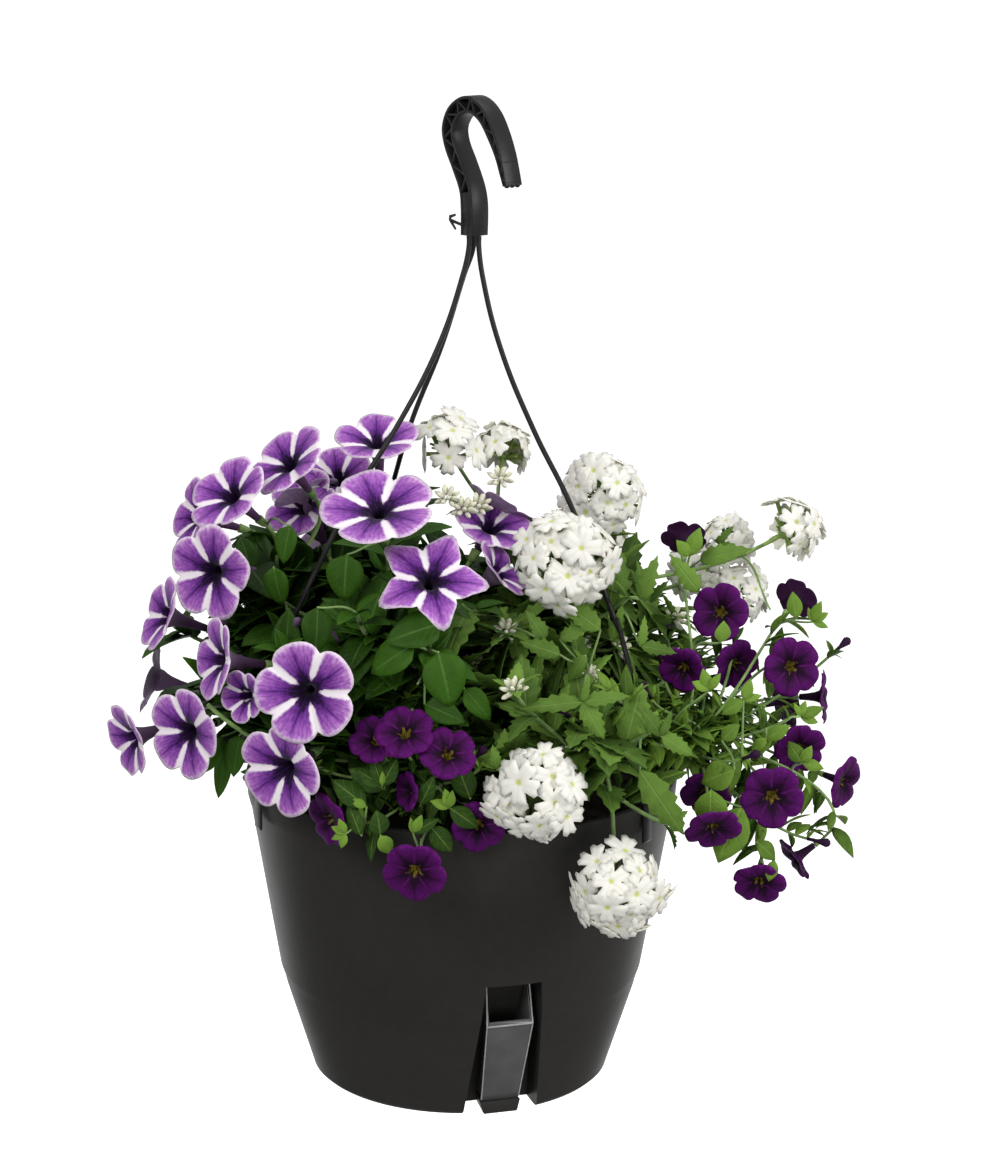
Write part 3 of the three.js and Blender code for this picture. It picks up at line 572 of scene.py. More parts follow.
def along_spline(points, t):
    """A point on the smooth curve through points, for t from 0 to 1."""
    spot = t * (len(points) - 1)
    i = min(int(spot), len(points) - 2)
    share = spot - i
    p = [Vector(points[max(0, min(len(points) - 1, j))]) for j in range(i - 1, i + 3)]
    bend = 2 * p[0] - 5 * p[1] + 4 * p[2] - p[3]
    twist = 3 * p[1] - p[0] - 3 * p[2] + p[3]
    return p[1] + 0.5 * ((p[2] - p[0]) * share + bend * share ** 2 + twist * share ** 3)


def across_hook(t, share):
    """A point between the outer edge (share 0) and the inner edge (share 1)."""
    return along_spline(OUTER_EDGE, t).lerp(along_spline(INNER_EDGE, t), share)


def hook_strip(start, end, shares, width, steps=48):
    """A curved bar of the hook between the two shares of its width that a rule gives."""
    stations = [start + (end - start) * i / steps for i in range(steps + 1)]
    outline = [across_hook(t, shares(t)[0]) for t in stations]
    outline += [across_hook(t, shares(t)[1]) for t in reversed(stations)]
    return softened(outline_solid(outline, width), 0.35, 50)


def flange_share(t):
    return min(0.3, FLANGE / (along_spline(OUTER_EDGE, t) - along_spline(INNER_EDGE, t)).length)


# %% Hook
RIBS = 18
RIBS_FROM, RIBS_SPAN = 0.13, 0.845
BARB = [
    [(-3, 537.4), (-11.6, 541), (-12, 543), (-3, 539.2)],
    [(-11.2, 542.6), (-12.6, 541.6), (-9, 536), (-8, 536.6)],
    [(-12.8, 541.4), (-11, 543.4), (-8.4, 544.6), (-8.6, 545.8), (-12.6, 544.8)],
]
hook = hook_strip(0, 1, lambda t: (0, flange_share(t)), HOOK_WIDTH)
for strip in (
        (0, 1, lambda t: (1 - flange_share(t), 1), HOOK_WIDTH),
        (0.01, 0.99, lambda t: (0.1, 0.9), 3),
        (0, RIBS_FROM, lambda t: (0.05, 0.95), HOOK_WIDTH - 0.6, 8),
        (RIBS_FROM + RIBS_SPAN, 1, lambda t: (0.05, 0.95), HOOK_WIDTH - 0.6, 4)):
    add_shape(hook, hook_strip(*strip))
for i in range(RIBS):
    start = across_hook(RIBS_FROM + RIBS_SPAN * i / RIBS, 0.08 + 0.84 * (i % 2))
    end = across_hook(RIBS_FROM + RIBS_SPAN * (i + 1) / RIBS, 0.92 - 0.84 * (i % 2))
    side = Vector((start.y - end.y, end.x - start.x)).normalized() * 0.6
    bar = [start - side, end - side, end + side, start + side]
    add_shape(hook, outline_solid(bar, HOOK_WIDTH - 0.8))
tip = across_hook(1, 0.5)
for shift in (-4.2, 0, 4.2):
    spot = Matrix.Translation((tip.x - 0.3, shift, tip.y + 0.6))
    bmesh.ops.create_uvsphere(hook, u_segments=16, v_segments=10, radius=1.9, matrix=spot)
hook.transform(Matrix.Translation((HOOK_SHIFT, 0, 0)) @ Matrix.Rotation(math.radians(-48), 4, "Z"))
for outline in BARB:
    bar = softened(outline_solid(outline, 2.4), 0.3)
    bar.transform(Matrix.Translation((2.4, 0, -5)))
    add_shape(hook, bar)
finish_piece("hook_body", hook, [HANGER_PLASTIC], "hook", "hanger_plastic", sharp=35)

# %% Arms
SIDE_ARM = [(8, 500), (22, 461), (48, 414), (75, 374), (97, 333), (112, 304)]
BACK_ARM = [(-1, 7, 503), (-14, 17, 459), (-32, 29, 411), (-41, 42, 380), (-48, 74, 343),
            (-48, 101, 304)]
CLIP = [
    (111, 308), (121.6, 276), (127.8, 240), (128.2, 184), (129.8, 184), (129.8, 195.5),
    (135.5, 195.5), (135.5, 173), (136.4, 171.5), (137.3, 173), (137.3, 196.8), (136, 198),
    (130.4, 198.6), (129.6, 240), (123.4, 276.4), (113, 308),
]
# Name, azimuths at the neck and at the rim, and the breadth kept where the paddle draws in
ARMS = [("arm_left", 205, 205, 1), ("arm_right", 325, 325, 0.45), ("arm_back", 95, 115, 1)]


def paddle(azimuth, waist):
    """The flat end of an arm: broad below, drawn in where it joins the rod."""
    shape = outline_solid(CLIP, 9)
    for vert in shape.verts:
        if vert.co.z > 270:
            vert.co.y *= 0.25 if vert.co.z > 300 else waist
    return turn_to(softened(shape, 0.35), azimuth)


def side_route(azimuth):
    """A side arm's points, which lean over to the hook beside the pot's axis."""
    return [polar(r, azimuth, z) + Vector((HOOK_SHIFT * (z - 304) / 224, 0, 0)) for r, z in SIDE_ARM]


arm_points = []
for name, neck_azimuth, clip_azimuth, waist in ARMS:
    start = polar(3.4, neck_azimuth, NECK) + Vector((HOOK_SHIFT, 0, 0))
    route = [Vector(p) for p in BACK_ARM] if name == "arm_back" else side_route(clip_azimuth)
    points = [start, start - UP * 6, *route, polar(116.3, clip_azimuth, 296)]
    arm = rods([(points, [1.6] * (len(points) - 1) + [0.8])], 12, 10)
    arm_points += [v.co.copy() for v in arm.verts]
    add_shape(arm, paddle(clip_azimuth, waist))
    finish_piece(name + "_rod", arm, [HANGER_PLASTIC], name, "hanger_plastic", sharp=40)

# %% [markdown]
# ## The compost
# Peat-based compost fills the pot to just below the rim. It hardly shows, so a lumpy disc is
# enough, with crumbs of bark and peat strewn over it.

# %% Compost
SOIL_RADIUS = 129
SOIL_EDGE = 176
SOIL_DOME = 10
CRUMBS = 260
PEAT = mottled("compost", {"Roughness": 0.95}, ("1a110b", "3d2c1f"), (220.0, 6.0), (0.3, 0.75),
               (420.0, 6.0, 0.7, 0.002))


def soil_height(radius):
    return SOIL_EDGE + SOIL_DOME * (1 - (radius / SOIL_RADIUS) ** 2)


soil_profile = [(0, 66), (109.2, 66), (128.6, 175)]
soil_profile += [(128.6 - 4.4 * i, soil_height(128.6 - 4.4 * i)) for i in range(1, 29)]
soil_profile += [(0, soil_height(0))]
soil = cut(turned(soil_profile, 90), niche_block(WALL + 0.35))
for vert in soil.verts:
    if vert.co.z > 174:
        vert.co.z += 2.2 * noise.noise(vert.co * 0.09) + 1.2 * noise.noise(vert.co * 0.4)
draw = random.Random(4)
for _ in range(CRUMBS):
    radius = 124 * math.sqrt(draw.random())
    spot = polar(radius, draw.uniform(0, 360), soil_height(radius) + 0.6)
    size = draw.uniform(0.8, 2.6)
    crumb = Matrix.LocRotScale(spot, None, Vector((size, size * 0.8, size * 0.6)))
    bmesh.ops.create_icosphere(soil, subdivisions=1, radius=1, matrix=crumb)
finish_piece("compost_fill", soil, [PEAT], "soil", "peat", sharp=60)
false_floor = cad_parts["false_floor"]
false_floor.data.materials.clear()
false_floor.data.materials.append(POT_PLASTIC)

# %% [markdown]
# ## The planting plan
# Three kinds of plant share the pot. Each flower has a place, the direction it faces as an azimuth
# and a height in degrees, and a width across. Each shoot has a root, a hub where it forks, and
# the tips of its leafy twigs. The front ones are read from the picture.

# %% Flowers and shoots
PETUNIAS = [
    ((-50, -95, 381), (262, 46), 68, "centre"), ((-19, -118, 344), (274, 32), 60, "centre"),
    ((-90, -142, 282), (262, 8), 60, "low"), ((-105, -135, 233), (238, -4), 56, "low"),
    ((-151, -62, 333), (250, 6), 58, "high"), ((-166, -78, 238), (240, 2), 56, "low"),
    ((-142, -35, 376), (228, 38), 53, "high"), ((-108, -15, 392), (236, 44), 55, "high"),
    ((-54, 14, 401), (262, 64), 53, "centre"), ((-168, 14, 352), (204, 20), 50, "high"),
    ((-186, -12, 295), (202, 22), 48, "high"), ((-146, -92, 288), (205, 12), 50, "low"),
    ((-197, 28, 243), (178, 14), 46, "high"), ((-206, -26, 218), (214, -10), 47, "high"),
    ((18, 2, 350), (300, 48), 50, "centre"), ((-98, 52, 352), (120, 46), 52, "back"),
    ((-128, 98, 296), (140, 18), 58, "back"), ((-84, 140, 300), (112, 22), 58, "back"),
    ((-98, 150, 226), (118, 2), 56, "back"),
]
CALIBRACHOAS = [
    ((-33, -148, 261), (266, 46), 35, "front"), ((-50, -142, 255), (254, 44), 32, "front"),
    ((-8, -153, 250), (276, 44), 34, "front"), ((-27, -163, 181), (262, -10), 38, "front"),
    ((-78, -138, 204), (222, -10), 34, "front"), ((10, -142, 202), (276, -4), 32, "front"),
    ((200, -45, 273), (286, 10), 37, "right"), ((155, -45, 307), (250, 16), 36, "right"),
    ((185, -95, 206), (272, 2), 39, "right"), ((224, -15, 246), (350, 4), 34, "right"),
    ((236, -40, 198), (322, -8), 34, "right"), ((149, -112, 191), (276, -34), 35, "right"),
    ((180, -85, 148), (262, -26), 33, "right"), ((206, 34, 230), (24, 6), 36, "rear"),
    ((140, 122, 226), (48, 8), 37, "rear"),
]
VERBENAS = [
    ((86, 4, 372), (276, 34), 56, "crown"), ((60, -85, 350), (268, 26), 66, "crown"),
    ((42, -158, 225), (268, 6), 64, "drape"), ((92, -150, 160), (274, -22), 66, "drape"),
    ((-12, 32, 396), (250, 40), 46, "crown"), ((26, 56, 392), (70, 62), 40, "crown"),
    ((166, 22, 338), (300, 50), 42, "crown"), ((172, 6, 308), (290, 30), 42, "crown"),
    ((208, -2, 353), (4, 30), 47, "crown"), ((84, 112, 326), (62, 42), 60, "rear"),
    ((12, 146, 262), (92, 16), 60, "rear"),
]
# The head whose stem falls over the rim
HANGING_HEAD = VERBENAS[3][0]
SHOOTS = [
    ("low", "petunia", (-74, -58), (-104, -92, 232),
     [(-112, -118, 268), (-112, -98, 216), (-150, -98, 262)]),
    ("high", "petunia", (-84, -4), (-118, -2, 290),
     [(-140, -34, 262), (-150, 40, 300), (-174, 18, 276)]),
    ("centre", "petunia", (-38, -34), (-44, -44, 272),
     [(-62, -112, 322), (-20, -118, 300), (-72, -84, 272), (8, -62, 312)]),
    ("back", "petunia", (-66, 56), (-88, 78, 250),
     [(-142, 62, 250), (-120, 118, 232), (-100, 112, 300)]),
    ("crown", "verbena", (34, -16), (42, -16, 288),
     [(98, -58, 318), (26, -70, 300), (74, -84, 276), (132, 34, 286), (128, -20, 296)]),
    ("drape", "verbena", (62, -72), (66, -104, 236),
     [(30, -136, 282), (108, -124, 254), (124, -118, 196)]),
    ("rear", "verbena", (50, 70), (66, 94, 240),
     [(112, 92, 282), (44, 142, 222), (36, 88, 306), (-12, 132, 214)]),
    ("front", "calibrachoa", (-18, -92), (-24, -112, 220),
     [(-84, -124, 232), (10, -138, 236), (-56, -142, 204)]),
    ("right", "calibrachoa", (94, -36), (142, -56, 232),
     [(196, -66, 246), (226, -26, 276), (166, -96, 230), (210, -64, 170)]),
]
# Smaller or half-hidden blooms that the solids leave out, with the shoot that carries each
EXTRA_BLOOMS = [
    ("petunia", (-102, 35, 355), (235, 40), 50, "high"),
    ("petunia", (-80, 40, 372), (250, 50), 46, "high"),
    ("petunia", (24, 25, 357), (30, 55), 48, "centre"),
    ("petunia", (24, -24, 328), (345, 40), 42, "centre"),
    ("calibrachoa", (-32, -144, 224), (214, 4), 24, "front"),
    ("calibrachoa", (136, 5, 342), (86, 34), 29, "right"),
    ("calibrachoa", (207, 5, 304), (60, 20), 28, "right"),
    ("calibrachoa", (203, -60, 155), (200, -30), 30, "right"),
    ("calibrachoa", (168, -30, 270), (300, 0), 32, "right"),
    ("calibrachoa", (132, -60, 275), (250, -10), 30, "right"),
    ("calibrachoa", (147, -75, 201), (260, -20), 32, "right"),
    ("calibrachoa", (207, -40, 219), (285, -10), 34, "right"),
    ("verbena", (146, 45, 312), (280, 30), 38, "crown"),
    ("petunia", (-129, -105, 269), (232, 6), 32, "low"),
]
# Sprigs that stand out in the picture, by shoot: the place of each, and the length in
# millimetres, the angle in the picture in degrees and the breadth of each leaf. A sprig
# without leaves carries buds.
SPRIGS = {
    "centre": [
        ((-68, -92, 352), (28, 264, 1.3)), ((-85, -104, 323), (28, 270, 1.1)),
        ((-13, -118, 317), (33, 190, 1.1)), ((-28, -124, 306), (32, 210, 1.1)),
        ((-14, -132, 304), (34, 285, 1.25)), ((-22, -126, 271), (25, 344, 1.0)),
        ((1, -124, 280), (25, 312, 0.9)),
    ],
    "high": [
        ((-113, -62, 337), (25, 279, 1.0)), ((-103, -60, 362), (23, 255, 1.0)),
        ((-96, -90, 263), (19, 221, 1.0)),
    ],
    "low": [
        ((-142, -70, 229), (35, 263, 0.5)), ((-144, -72, 235), (25, 244, 0.8)),
        ((-133, -80, 238), (25, 259, 0.9)),
    ],
    "crown": [
        ((-10, 0, 366),), ((0, 0, 359),), ((22, 10, 376),), ((9, 5, 360),), ((187, -30, 305),),
        ((-26, -128, 284),),
        ((69, -140, 277), (36, 183, 0.6), (27, 15, 0.7), (25, 302, 1.0), (17, 77, 0.6)),
        ((48, -100, 303), (21, 115, 1.0)), ((57, -110, 297), (25, 160, 0.9)),
        ((106, -60, 318), (28, 73, 0.8)), ((144, -20, 333), (32, 23, 0.8)),
        ((81, -90, 307), (30, 143, 0.9)), ((143, -35, 317), (28, 127, 0.9)),
        ((156, -10, 341), (19, 345, 0.7), (15, 60, 0.7)),
        ((112, -50, 314), (24, 115, 0.7), (18, 60, 0.7)), ((89, -60, 293), (22, 72, 0.8)),
        ((57, -90, 301), (21, 31, 0.9)), ((72, -100, 294), (19, 233, 0.9)),
        ((106, -70, 292), (22, 354, 0.8), (18, 80, 0.7)),
    ],
    "drape": [
        ((115, -136, 256), (26, 120, 0.7), (23, 331, 0.9), (16, 68, 0.7)),
        ((103, -138, 236), (55, 303, 0.65)),
    ],
    "front": [
        ((-67, -150, 200), (9, 148, 1.6), (9, 252, 1.6), (10, 110, 1.5), (9, 200, 1.4)),
        ((-58, -148, 198), (20, 113, 1.4)), ((-47, -147, 198), (15, 94, 2.4), (13, 300, 2.1)),
        ((-28, -149, 200), (12, 65, 1.5), (17, 37, 1.3), (9, 100, 1.2)),
        ((-18, -147, 204), (20, 310, 1.8)),
        ((-7, -147, 215), (20, 328, 1.7), (12, 100, 1.6), (12, 150, 1.5), (11, 80, 1.4)),
        ((-46, -147, 228), (17, 108, 1.5), (18, 66, 1.8), (17, 145, 1.6), (9, 85, 1.2)),
        ((-55, -146, 215), (10, 150, 1.6), (25, 140, 1.6)), ((-45, -138, 223), (23, 147, 1.7)),
        ((5, -140, 218), (23, 110, 1.8)), ((-24, -146, 216), (20, 66, 1.4)),
    ],
    "right": [
        ((152, -90, 300), (13, 80, 2.2)), ((162, -95, 223), (22, 202, 2.4)),
        ((148, -100, 212), (24, 268, 2.4)), ((167, -95, 200), (36, 245, 1.8)),
        ((177, -92, 177), (16, 322, 2.0)), ((154, -95, 241), (14, 53, 2.0)),
        ((205, -70, 220), (15, 122, 1.9), (12, 68, 1.7), (14, 348, 1.5)),
        ((204, -60, 246), (15, 28, 1.4), (12, 345, 1.4), (10, 75, 1.5), (9, 110, 1.2)),
        ((212, -40, 300), (11, 34, 1.4), (14, 78, 1.5), (10, 345, 1.3), (9, 110, 1.2)),
        ((202, -40, 302), (16, 100, 1.7)), ((137, -30, 338), (13, 126, 1.8), (18, 73, 1.6)),
        ((166, -95, 266), (15, 208, 1.8), (13, 70, 1.6), (11, 20, 1.3)),
        ((182, -80, 238), (16, 38, 1.6), (12, 220, 1.6)), ((188, -90, 165), (14, 257, 1.6)),
        ((146, -88, 270), (13, 108, 1.6), (11, 148, 1.7), (12, 60, 1.3)),
    ],
}
DEPTH = {"petunia": 32, "calibrachoa": 16, "verbena": 0.54}
CUP = {"petunia": 9, "calibrachoa": 5, "verbena": 0}
FLOWERS = [("petunia", *row) for row in PETUNIAS]
FLOWERS += [("calibrachoa", *row) for row in CALIBRACHOAS]
FLOWERS += [("verbena", *row) for row in VERBENAS]
print(len(FLOWERS), "flowers on", len(SHOOTS), "shoots")

# %% [markdown]
# ## Petals
# A petunia or calibrachoa is one fused trumpet, not five loose petals. So its section is spun
# like a pot, and then the round rim is drawn into five lobes. Lobes meet at creased seams, arch
# in the middle and roll back at the rim, and no two flowers ripple alike. Each point keeps its
# share of the flower's radius, and how far along the section it lies, for the colours to use.

# %% Petal finishes
LOBES = 5


def seam_shares(place):
    """Radius share, distance from the nearest seam and mid-vein, place along, and lobe angle."""
    across, high, along = place.parts()
    reach = (across * across + high * high) ** 0.5
    angle = across.math("ARCTAN2", high, across) * (LOBES / math.tau)
    fold = abs(angle.math("FRACT", angle + 10.5) - 0.5)
    seam = reach * fold.math("SINE", fold * (math.tau / LOBES))
    middle = reach * fold.math("SINE", (0.5 - fold) * (math.tau / LOBES))
    return reach, seam, middle, along, angle


def trumpet_finish(name, stops, star, star_width, pallor, outside, tube, vein, sheen):
    """A velvety trumpet: a ramp outwards, a star along the seams, veins and a plain back."""
    material, shader, place, shares = new_finish(
        name, {"Roughness": 0.62, "Sheen Weight": sheen, "Sheen Roughness": 0.4,
               "Specular IOR Level": 0.08}, "petal")
    reach, seam, middle, along, angle = seam_shares(shares)
    grain = place.speckle(420.0, 4.0)
    polar_place = angle.node("ShaderNodeCombineXYZ", {}, {"X": angle * 9.0, "Y": reach * 4.0})
    streak = polar_place.speckle(1.6, 5.0)
    ripe = reach + (streak - 0.5) * 0.5 + (grain - 0.5) * 0.3 - middle.rising(0.12, 0.0) * 0.16
    ramp = place.node("ShaderNodeValToRGB", {"stops": stops}, {"Fac": ripe})
    lines = abs(angle.math("SINE", angle * 40.0 + (streak - 0.5) * 6.0)) ** 6.0
    rib = middle.rising(0.022, 0.0) * reach.rising(1.0, 0.7)
    veined = lines.math("MAXIMUM", lines * 0.3, rib * 0.85).mix(ramp, vein)
    width = 0.035 + reach * star_width + (grain - 0.5) * 0.07 - reach.rising(0.35, 0.2) * 0.05
    ray = (1.0 - seam / width).rising(0.0, 0.45) * reach.rising(0.2, 0.3)
    margin = (reach + (grain - 0.5) * 0.1).rising(0.9, 1.0) * pallor
    front = ray.math("MAXIMUM", ray * 0.92, margin).mix(veined, star)
    shade = (streak.rising(0.2, 0.8) * 0.5).mix(outside, tube)
    back = reach.rising(0.1, 0.6).mix(tube, shade)
    along.rising(1.0, 1.02).mix(front, back).into(shader)
    bump(lines * 0.4 + grain * 0.3 + streak * 0.5, shader, 0.3, 0.0008)
    return material


PETUNIA_PETAL = trumpet_finish(
    "petunia petal",
    [(0.0, "0d0510"), (0.18, "17081f"), (0.27, "45195f"), (0.5, "71378f"), (0.78, "9c5db0"),
     (1.0, "bf90ca")],
    # The pale back is partly the petals' own colour and partly painted light, lifted for backs that
    # face away from the lamps
    star="ece4e8", star_width=0.12, pallor=0.75, outside="b79ec2", tube="4c3050", vein="2f1050",
    sheen=0.1)
CALIBRACHOA_PETAL = trumpet_finish(
    "calibrachoa petal",
    [(0.0, "998a2e"), (0.05, "5f5220"), (0.09, "12030c"), (0.32, "1d031f"), (0.6, "3e0745"),
     (0.9, "500b5c"), (1.0, "601668")],
    star="4a0c52", star_width=0.02, pallor=0.1, outside="3f1c44", tube="26132a", vein="190220",
    sheen=0.0)
print("petal finishes:", PETUNIA_PETAL.name, CALIBRACHOA_PETAL.name)


# %% Trumpet flowers
THROAT = 0.16


def mark_section(shape, profile, rim):
    """Stores each point's place in the face, and its way along the section: 0 to 1 on the
    front and 1 to 2 behind."""
    widest = max(range(len(profile)), key=lambda i: profile[i][0])
    last = len(profile) - 1
    layer = shape.verts.layers.float_vector.new("petal")
    for vert in shape.verts:
        radius, height = math.hypot(vert.co.x, vert.co.y), vert.co.z
        i = min(range(last + 1), key=lambda i: math.dist(profile[i], (radius, height)))
        share = i / widest if i <= widest else 1 + (i - widest) / (last - widest)
        vert[layer] = (vert.co.x / rim, vert.co.y / rim, share)


def draw_in(vert, share):
    """Draws a point towards the axis."""
    vert.co.x *= share
    vert.co.y *= share


def trumpet(profile, steps, rim, seed, notch=0.2, ripple=0.035, point=0.0, curl=0.06,
            tilt=(0.0, 0.0)):
    """A flower spun from a section, drawn into five lobes, about +Z with its face at 0. The tilt
    leans the open face on its tube along x and y."""
    shape = turned(profile, steps)
    mark_section(shape, profile, rim)
    phase = Vector((seed * 3.7, seed * 1.3, 0))
    for vert in shape.verts:
        reach = math.hypot(vert.co.x, vert.co.y) / rim
        if reach < THROAT:
            continue
        angle = math.atan2(vert.co.y, vert.co.x)
        lobe = abs(math.sin(2.5 * angle))
        outer = min(1, (reach - THROAT) / (1 - THROAT))
        drawn = 1 - notch * (1 - lobe) ** 2 * outer ** 1.5 + point * (lobe ** 6 - 0.5) * outer ** 2
        wave = noise.noise(Vector((math.cos(angle), math.sin(angle), 0)) * 2.2 + phase)
        wave += 0.45 * math.sin(angle * (7 + seed % 3) + seed)
        height = ripple * wave * outer ** 1.5
        height += 0.06 * lobe * outer - 0.07 * (1 - lobe) ** 3 * outer
        height -= (curl + point * 0.6 * lobe ** 4) * outer ** 4 * (0.4 + 0.6 * lobe)
        draw_in(vert, drawn)
        vert.co.z += height * rim + tilt[0] * vert.co.x + tilt[1] * vert.co.y
    return shape


def petunia_profile(rim, depth):
    """Front of a petunia from its throat to its rim, then the back of it down the tube."""
    front = [(0, -24), (1.5, -23), (2.4, -16), (3.4, -11), (4.6, -7.6), (6, -5.6), (0.26 * rim, -4.2)]
    front += [(0.36 * rim, -3), (0.46 * rim, -2), (0.58 * rim, -1), (0.7 * rim, -0.1)]
    front += [(0.82 * rim, 0.6), (0.92 * rim, 1.1), (rim, 1.2)]
    back = [(0.985 * rim, 0.7), (0.9 * rim, 0.4), (0.74 * rim, -0.7), (0.5 * rim, -2.4)]
    back += [(0.32 * rim, -4.4), (7, -7), (5.6, -9.6), (4.4, -13), (3.3, -19), (2.6, -26)]
    return front + back + [(2.3, -depth + 0.6), (0, -depth)]


def calibrachoa_profile(rim, depth):
    front = [(0, -11), (1.4, -10.5), (2.2, -6), (3.2, -3), (4.6, -1.4), (0.42 * rim, -0.6)]
    front += [(0.58 * rim, 0), (0.74 * rim, 0.5), (0.88 * rim, 0.8), (rim, 0.8)]
    back = [(0.98 * rim, 0.35), (0.85 * rim, 0.1), (0.6 * rim, -0.7), (0.42 * rim, -1.5)]
    back += [(4, -3.2), (2.9, -6), (2.2, -11)]
    return front + back + [(1.9, -depth + 0.4), (0, -depth)]


def in_place(shape, at, direction, turn=0.0):
    shape.transform(Matrix.Translation(at) @ aim(direction, turn))


# %% [markdown]
# ### Petunias
# Each petunia is its own piece. The turn of each about its tube is read from where its white star
# points in the picture; the hidden ones take what comes.

# %% Petunias
# By number: the star's turn, how pointed the lobes are, and how far the face leans up or sideways
STAR_TURN = {1: 8, 2: 29, 3: 0, 4: 40, 5: -24}
POINTED = {2: 0.3, 5: 0.05}
LIFT = {1: 26, 2: 20, 7: 8, 8: 14, 9: 12, 15: 20}
SIDEWAYS = {5: -14, 6: -12, 8: -14}
petal_points = []
shown_points = []


def remember(shape, azimuth):
    """Keeps a flower's points, for the leaves to stay clear of, and of the view of it."""
    points = [vert.co.copy() for vert in shape.verts]
    petal_points.extend(points)
    if azimuth > 180:
        shown_points.extend(points)


def face_tilt(number, direction, turn):
    """The slope of an open face, in its own frame, that leans it up or sideways in the world."""
    lift, aside = (math.tan(math.radians(rows.get(number, 0))) for rows in (LIFT, SIDEWAYS))
    slope = UP * -lift + Vector((-1, 0, 0)) * aside
    local = aim(direction, turn).to_3x3().inverted() @ slope
    return local.x, local.y


def petunia(number, at, azimuth, height, across):
    direction = facing(azimuth, height)
    turn = math.radians(azimuth + 90 + STAR_TURN.get(number, number * 31))
    flower = trumpet(petunia_profile(across / 2, DEPTH["petunia"]), 60, across / 2, number,
                     point=POINTED.get(number, 0.0), tilt=face_tilt(number, direction, turn))
    in_place(flower, Vector(at), direction, turn)
    remember(flower, azimuth)
    return flower


for number, (at, face, across, shoot) in enumerate(PETUNIAS, 1):
    finish_piece(f"petunia_bloom_{number:02d}", petunia(number, at, *face, across),
                 [PETUNIA_PETAL], f"petunia_{number:02d}", "petunia_petal")

# %% [markdown]
# ### Calibrachoas
# These are petunias in little: a rounder rim, shallow lobes, and a dark throat with a greenish eye.
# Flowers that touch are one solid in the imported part, so they share one piece here as well.

# %% Calibrachoas
FUSED_CALIBRACHOAS = {2: 1, 3: 1}
bunches = {}


def calibrachoa(number, at, azimuth, height, across):
    flower = trumpet(calibrachoa_profile(across / 2, DEPTH["calibrachoa"]), 50, across / 2,
                     40 + number, notch=0.16, ripple=0.06, curl=0.14)
    in_place(flower, Vector(at), facing(azimuth, height), number * 1.3)
    remember(flower, azimuth)
    return flower


def gather(bunches, number, shape):
    """Puts a shape with the others of the same number."""
    if number in bunches:
        add_shape(bunches[number], shape)
    else:
        bunches[number] = shape


for number, (at, face, across, shoot) in enumerate(CALIBRACHOAS, 1):
    flower = calibrachoa(number, at, *face, across)
    gather(bunches, FUSED_CALIBRACHOAS.get(number, number), flower)
for number, bunch in bunches.items():
    finish_piece(f"calibrachoa_bloom_{number:02d}", bunch, [CALIBRACHOA_PETAL],
                 f"calibrachoa_{number:02d}", "calibrachoa_petal")

# %% [markdown]
# ### Verbena heads
# A verbena head is a dome of small white florets. Each has five petals with a nick in the middle,
# and a green tube that runs in to a common stem end. One floret is spun and drawn into petals,
# and copies of it stand on the dome by the golden angle.

# %% Floret finish
VERBENA_PETAL, shader, place, shares = new_finish(
    "verbena petal", {"Roughness": 0.6, "Specular IOR Level": 0.25, "Sheen Weight": 0.15}, "petal")
reach, seam, middle, along, angle = seam_shares(shares)
cloud = place.speckle(350.0)
eye_share = (reach + (cloud - 0.5) * 0.08).rising(0.17, 0.06)
# The white is painted a little greyer along each petal's middle as painted shade, and varies at random
# with the cloud
white = (cloud * 0.5 + middle.rising(0.08, 0.0) * 0.4).mix("e3e1da", "cdccc0")
back = reach.rising(0.14, 0.3).mix("8faa55", "eceadb")
along.rising(1.0, 1.02).mix(eye_share.mix(white, "bcc06a"), back).into(shader)
bump(cloud, shader, 0.15, 0.0004)
GREEN_CORE = mottled("flower green", {"Roughness": 0.7}, ("5c7c34", "90a855"), (220.0, 4.0),
                     (0.3, 0.7), (700.0, 3.0, 0.3, 0.0006))
print("head finishes:", VERBENA_PETAL.name, GREEN_CORE.name)


# %% Verbena heads
def floret(rim, length):
    """One floret about +Z with its face at 0 and its tube below."""
    profile = [(0, -1.3), (0.14 * rim, -0.4), (0.4 * rim, 0), (0.7 * rim, 0.1), (rim, 0)]
    profile += [(0.97 * rim, -0.4), (0.6 * rim, -0.5), (0.11 * rim, -1.9), (0.08 * rim, -length)]
    profile += [(0, -length)]
    shape = turned(profile, 30)
    mark_section(shape, profile, rim)
    for vert in shape.verts:
        reach = math.hypot(vert.co.x, vert.co.y) / rim
        lobe = abs(math.sin(2.5 * math.atan2(vert.co.y, vert.co.x)))
        outer = max(0, reach - 0.14) / 0.86
        draw_in(vert, 1 - 0.55 * (1 - lobe) ** 2.8 * outer - 0.15 * lobe ** 18 * outer ** 3)
        vert.co.z += 0.05 * rim * lobe * outer - 0.12 * rim * outer ** 2
    return shape


def add_copy(shape, mesh, matrix):
    """Adds a placed copy of a kept mesh, and gives back its points."""
    before = len(shape.verts)
    shape.from_mesh(mesh)
    shape.verts.ensure_lookup_table()
    bmesh.ops.transform(shape, matrix=matrix, verts=shape.verts[before:])
    return shape.verts[before:]


def on_dome(tilt, turn):
    """A direction that tilts from +Z and turns about it."""
    return aim(UP, turn) @ Vector((math.sin(tilt), 0, math.cos(tilt)))


FLORET = as_mesh(floret(13.2, 17), "floret")
# By number: how far from its top a dome starts, and the count and size of florets
OPENING = {2: 0.08, 3: 0.3}
FLORET_COUNT = {5: 7, 6: 9}
FLORET_SIZE = {5: 1.18, 6: 1.12}


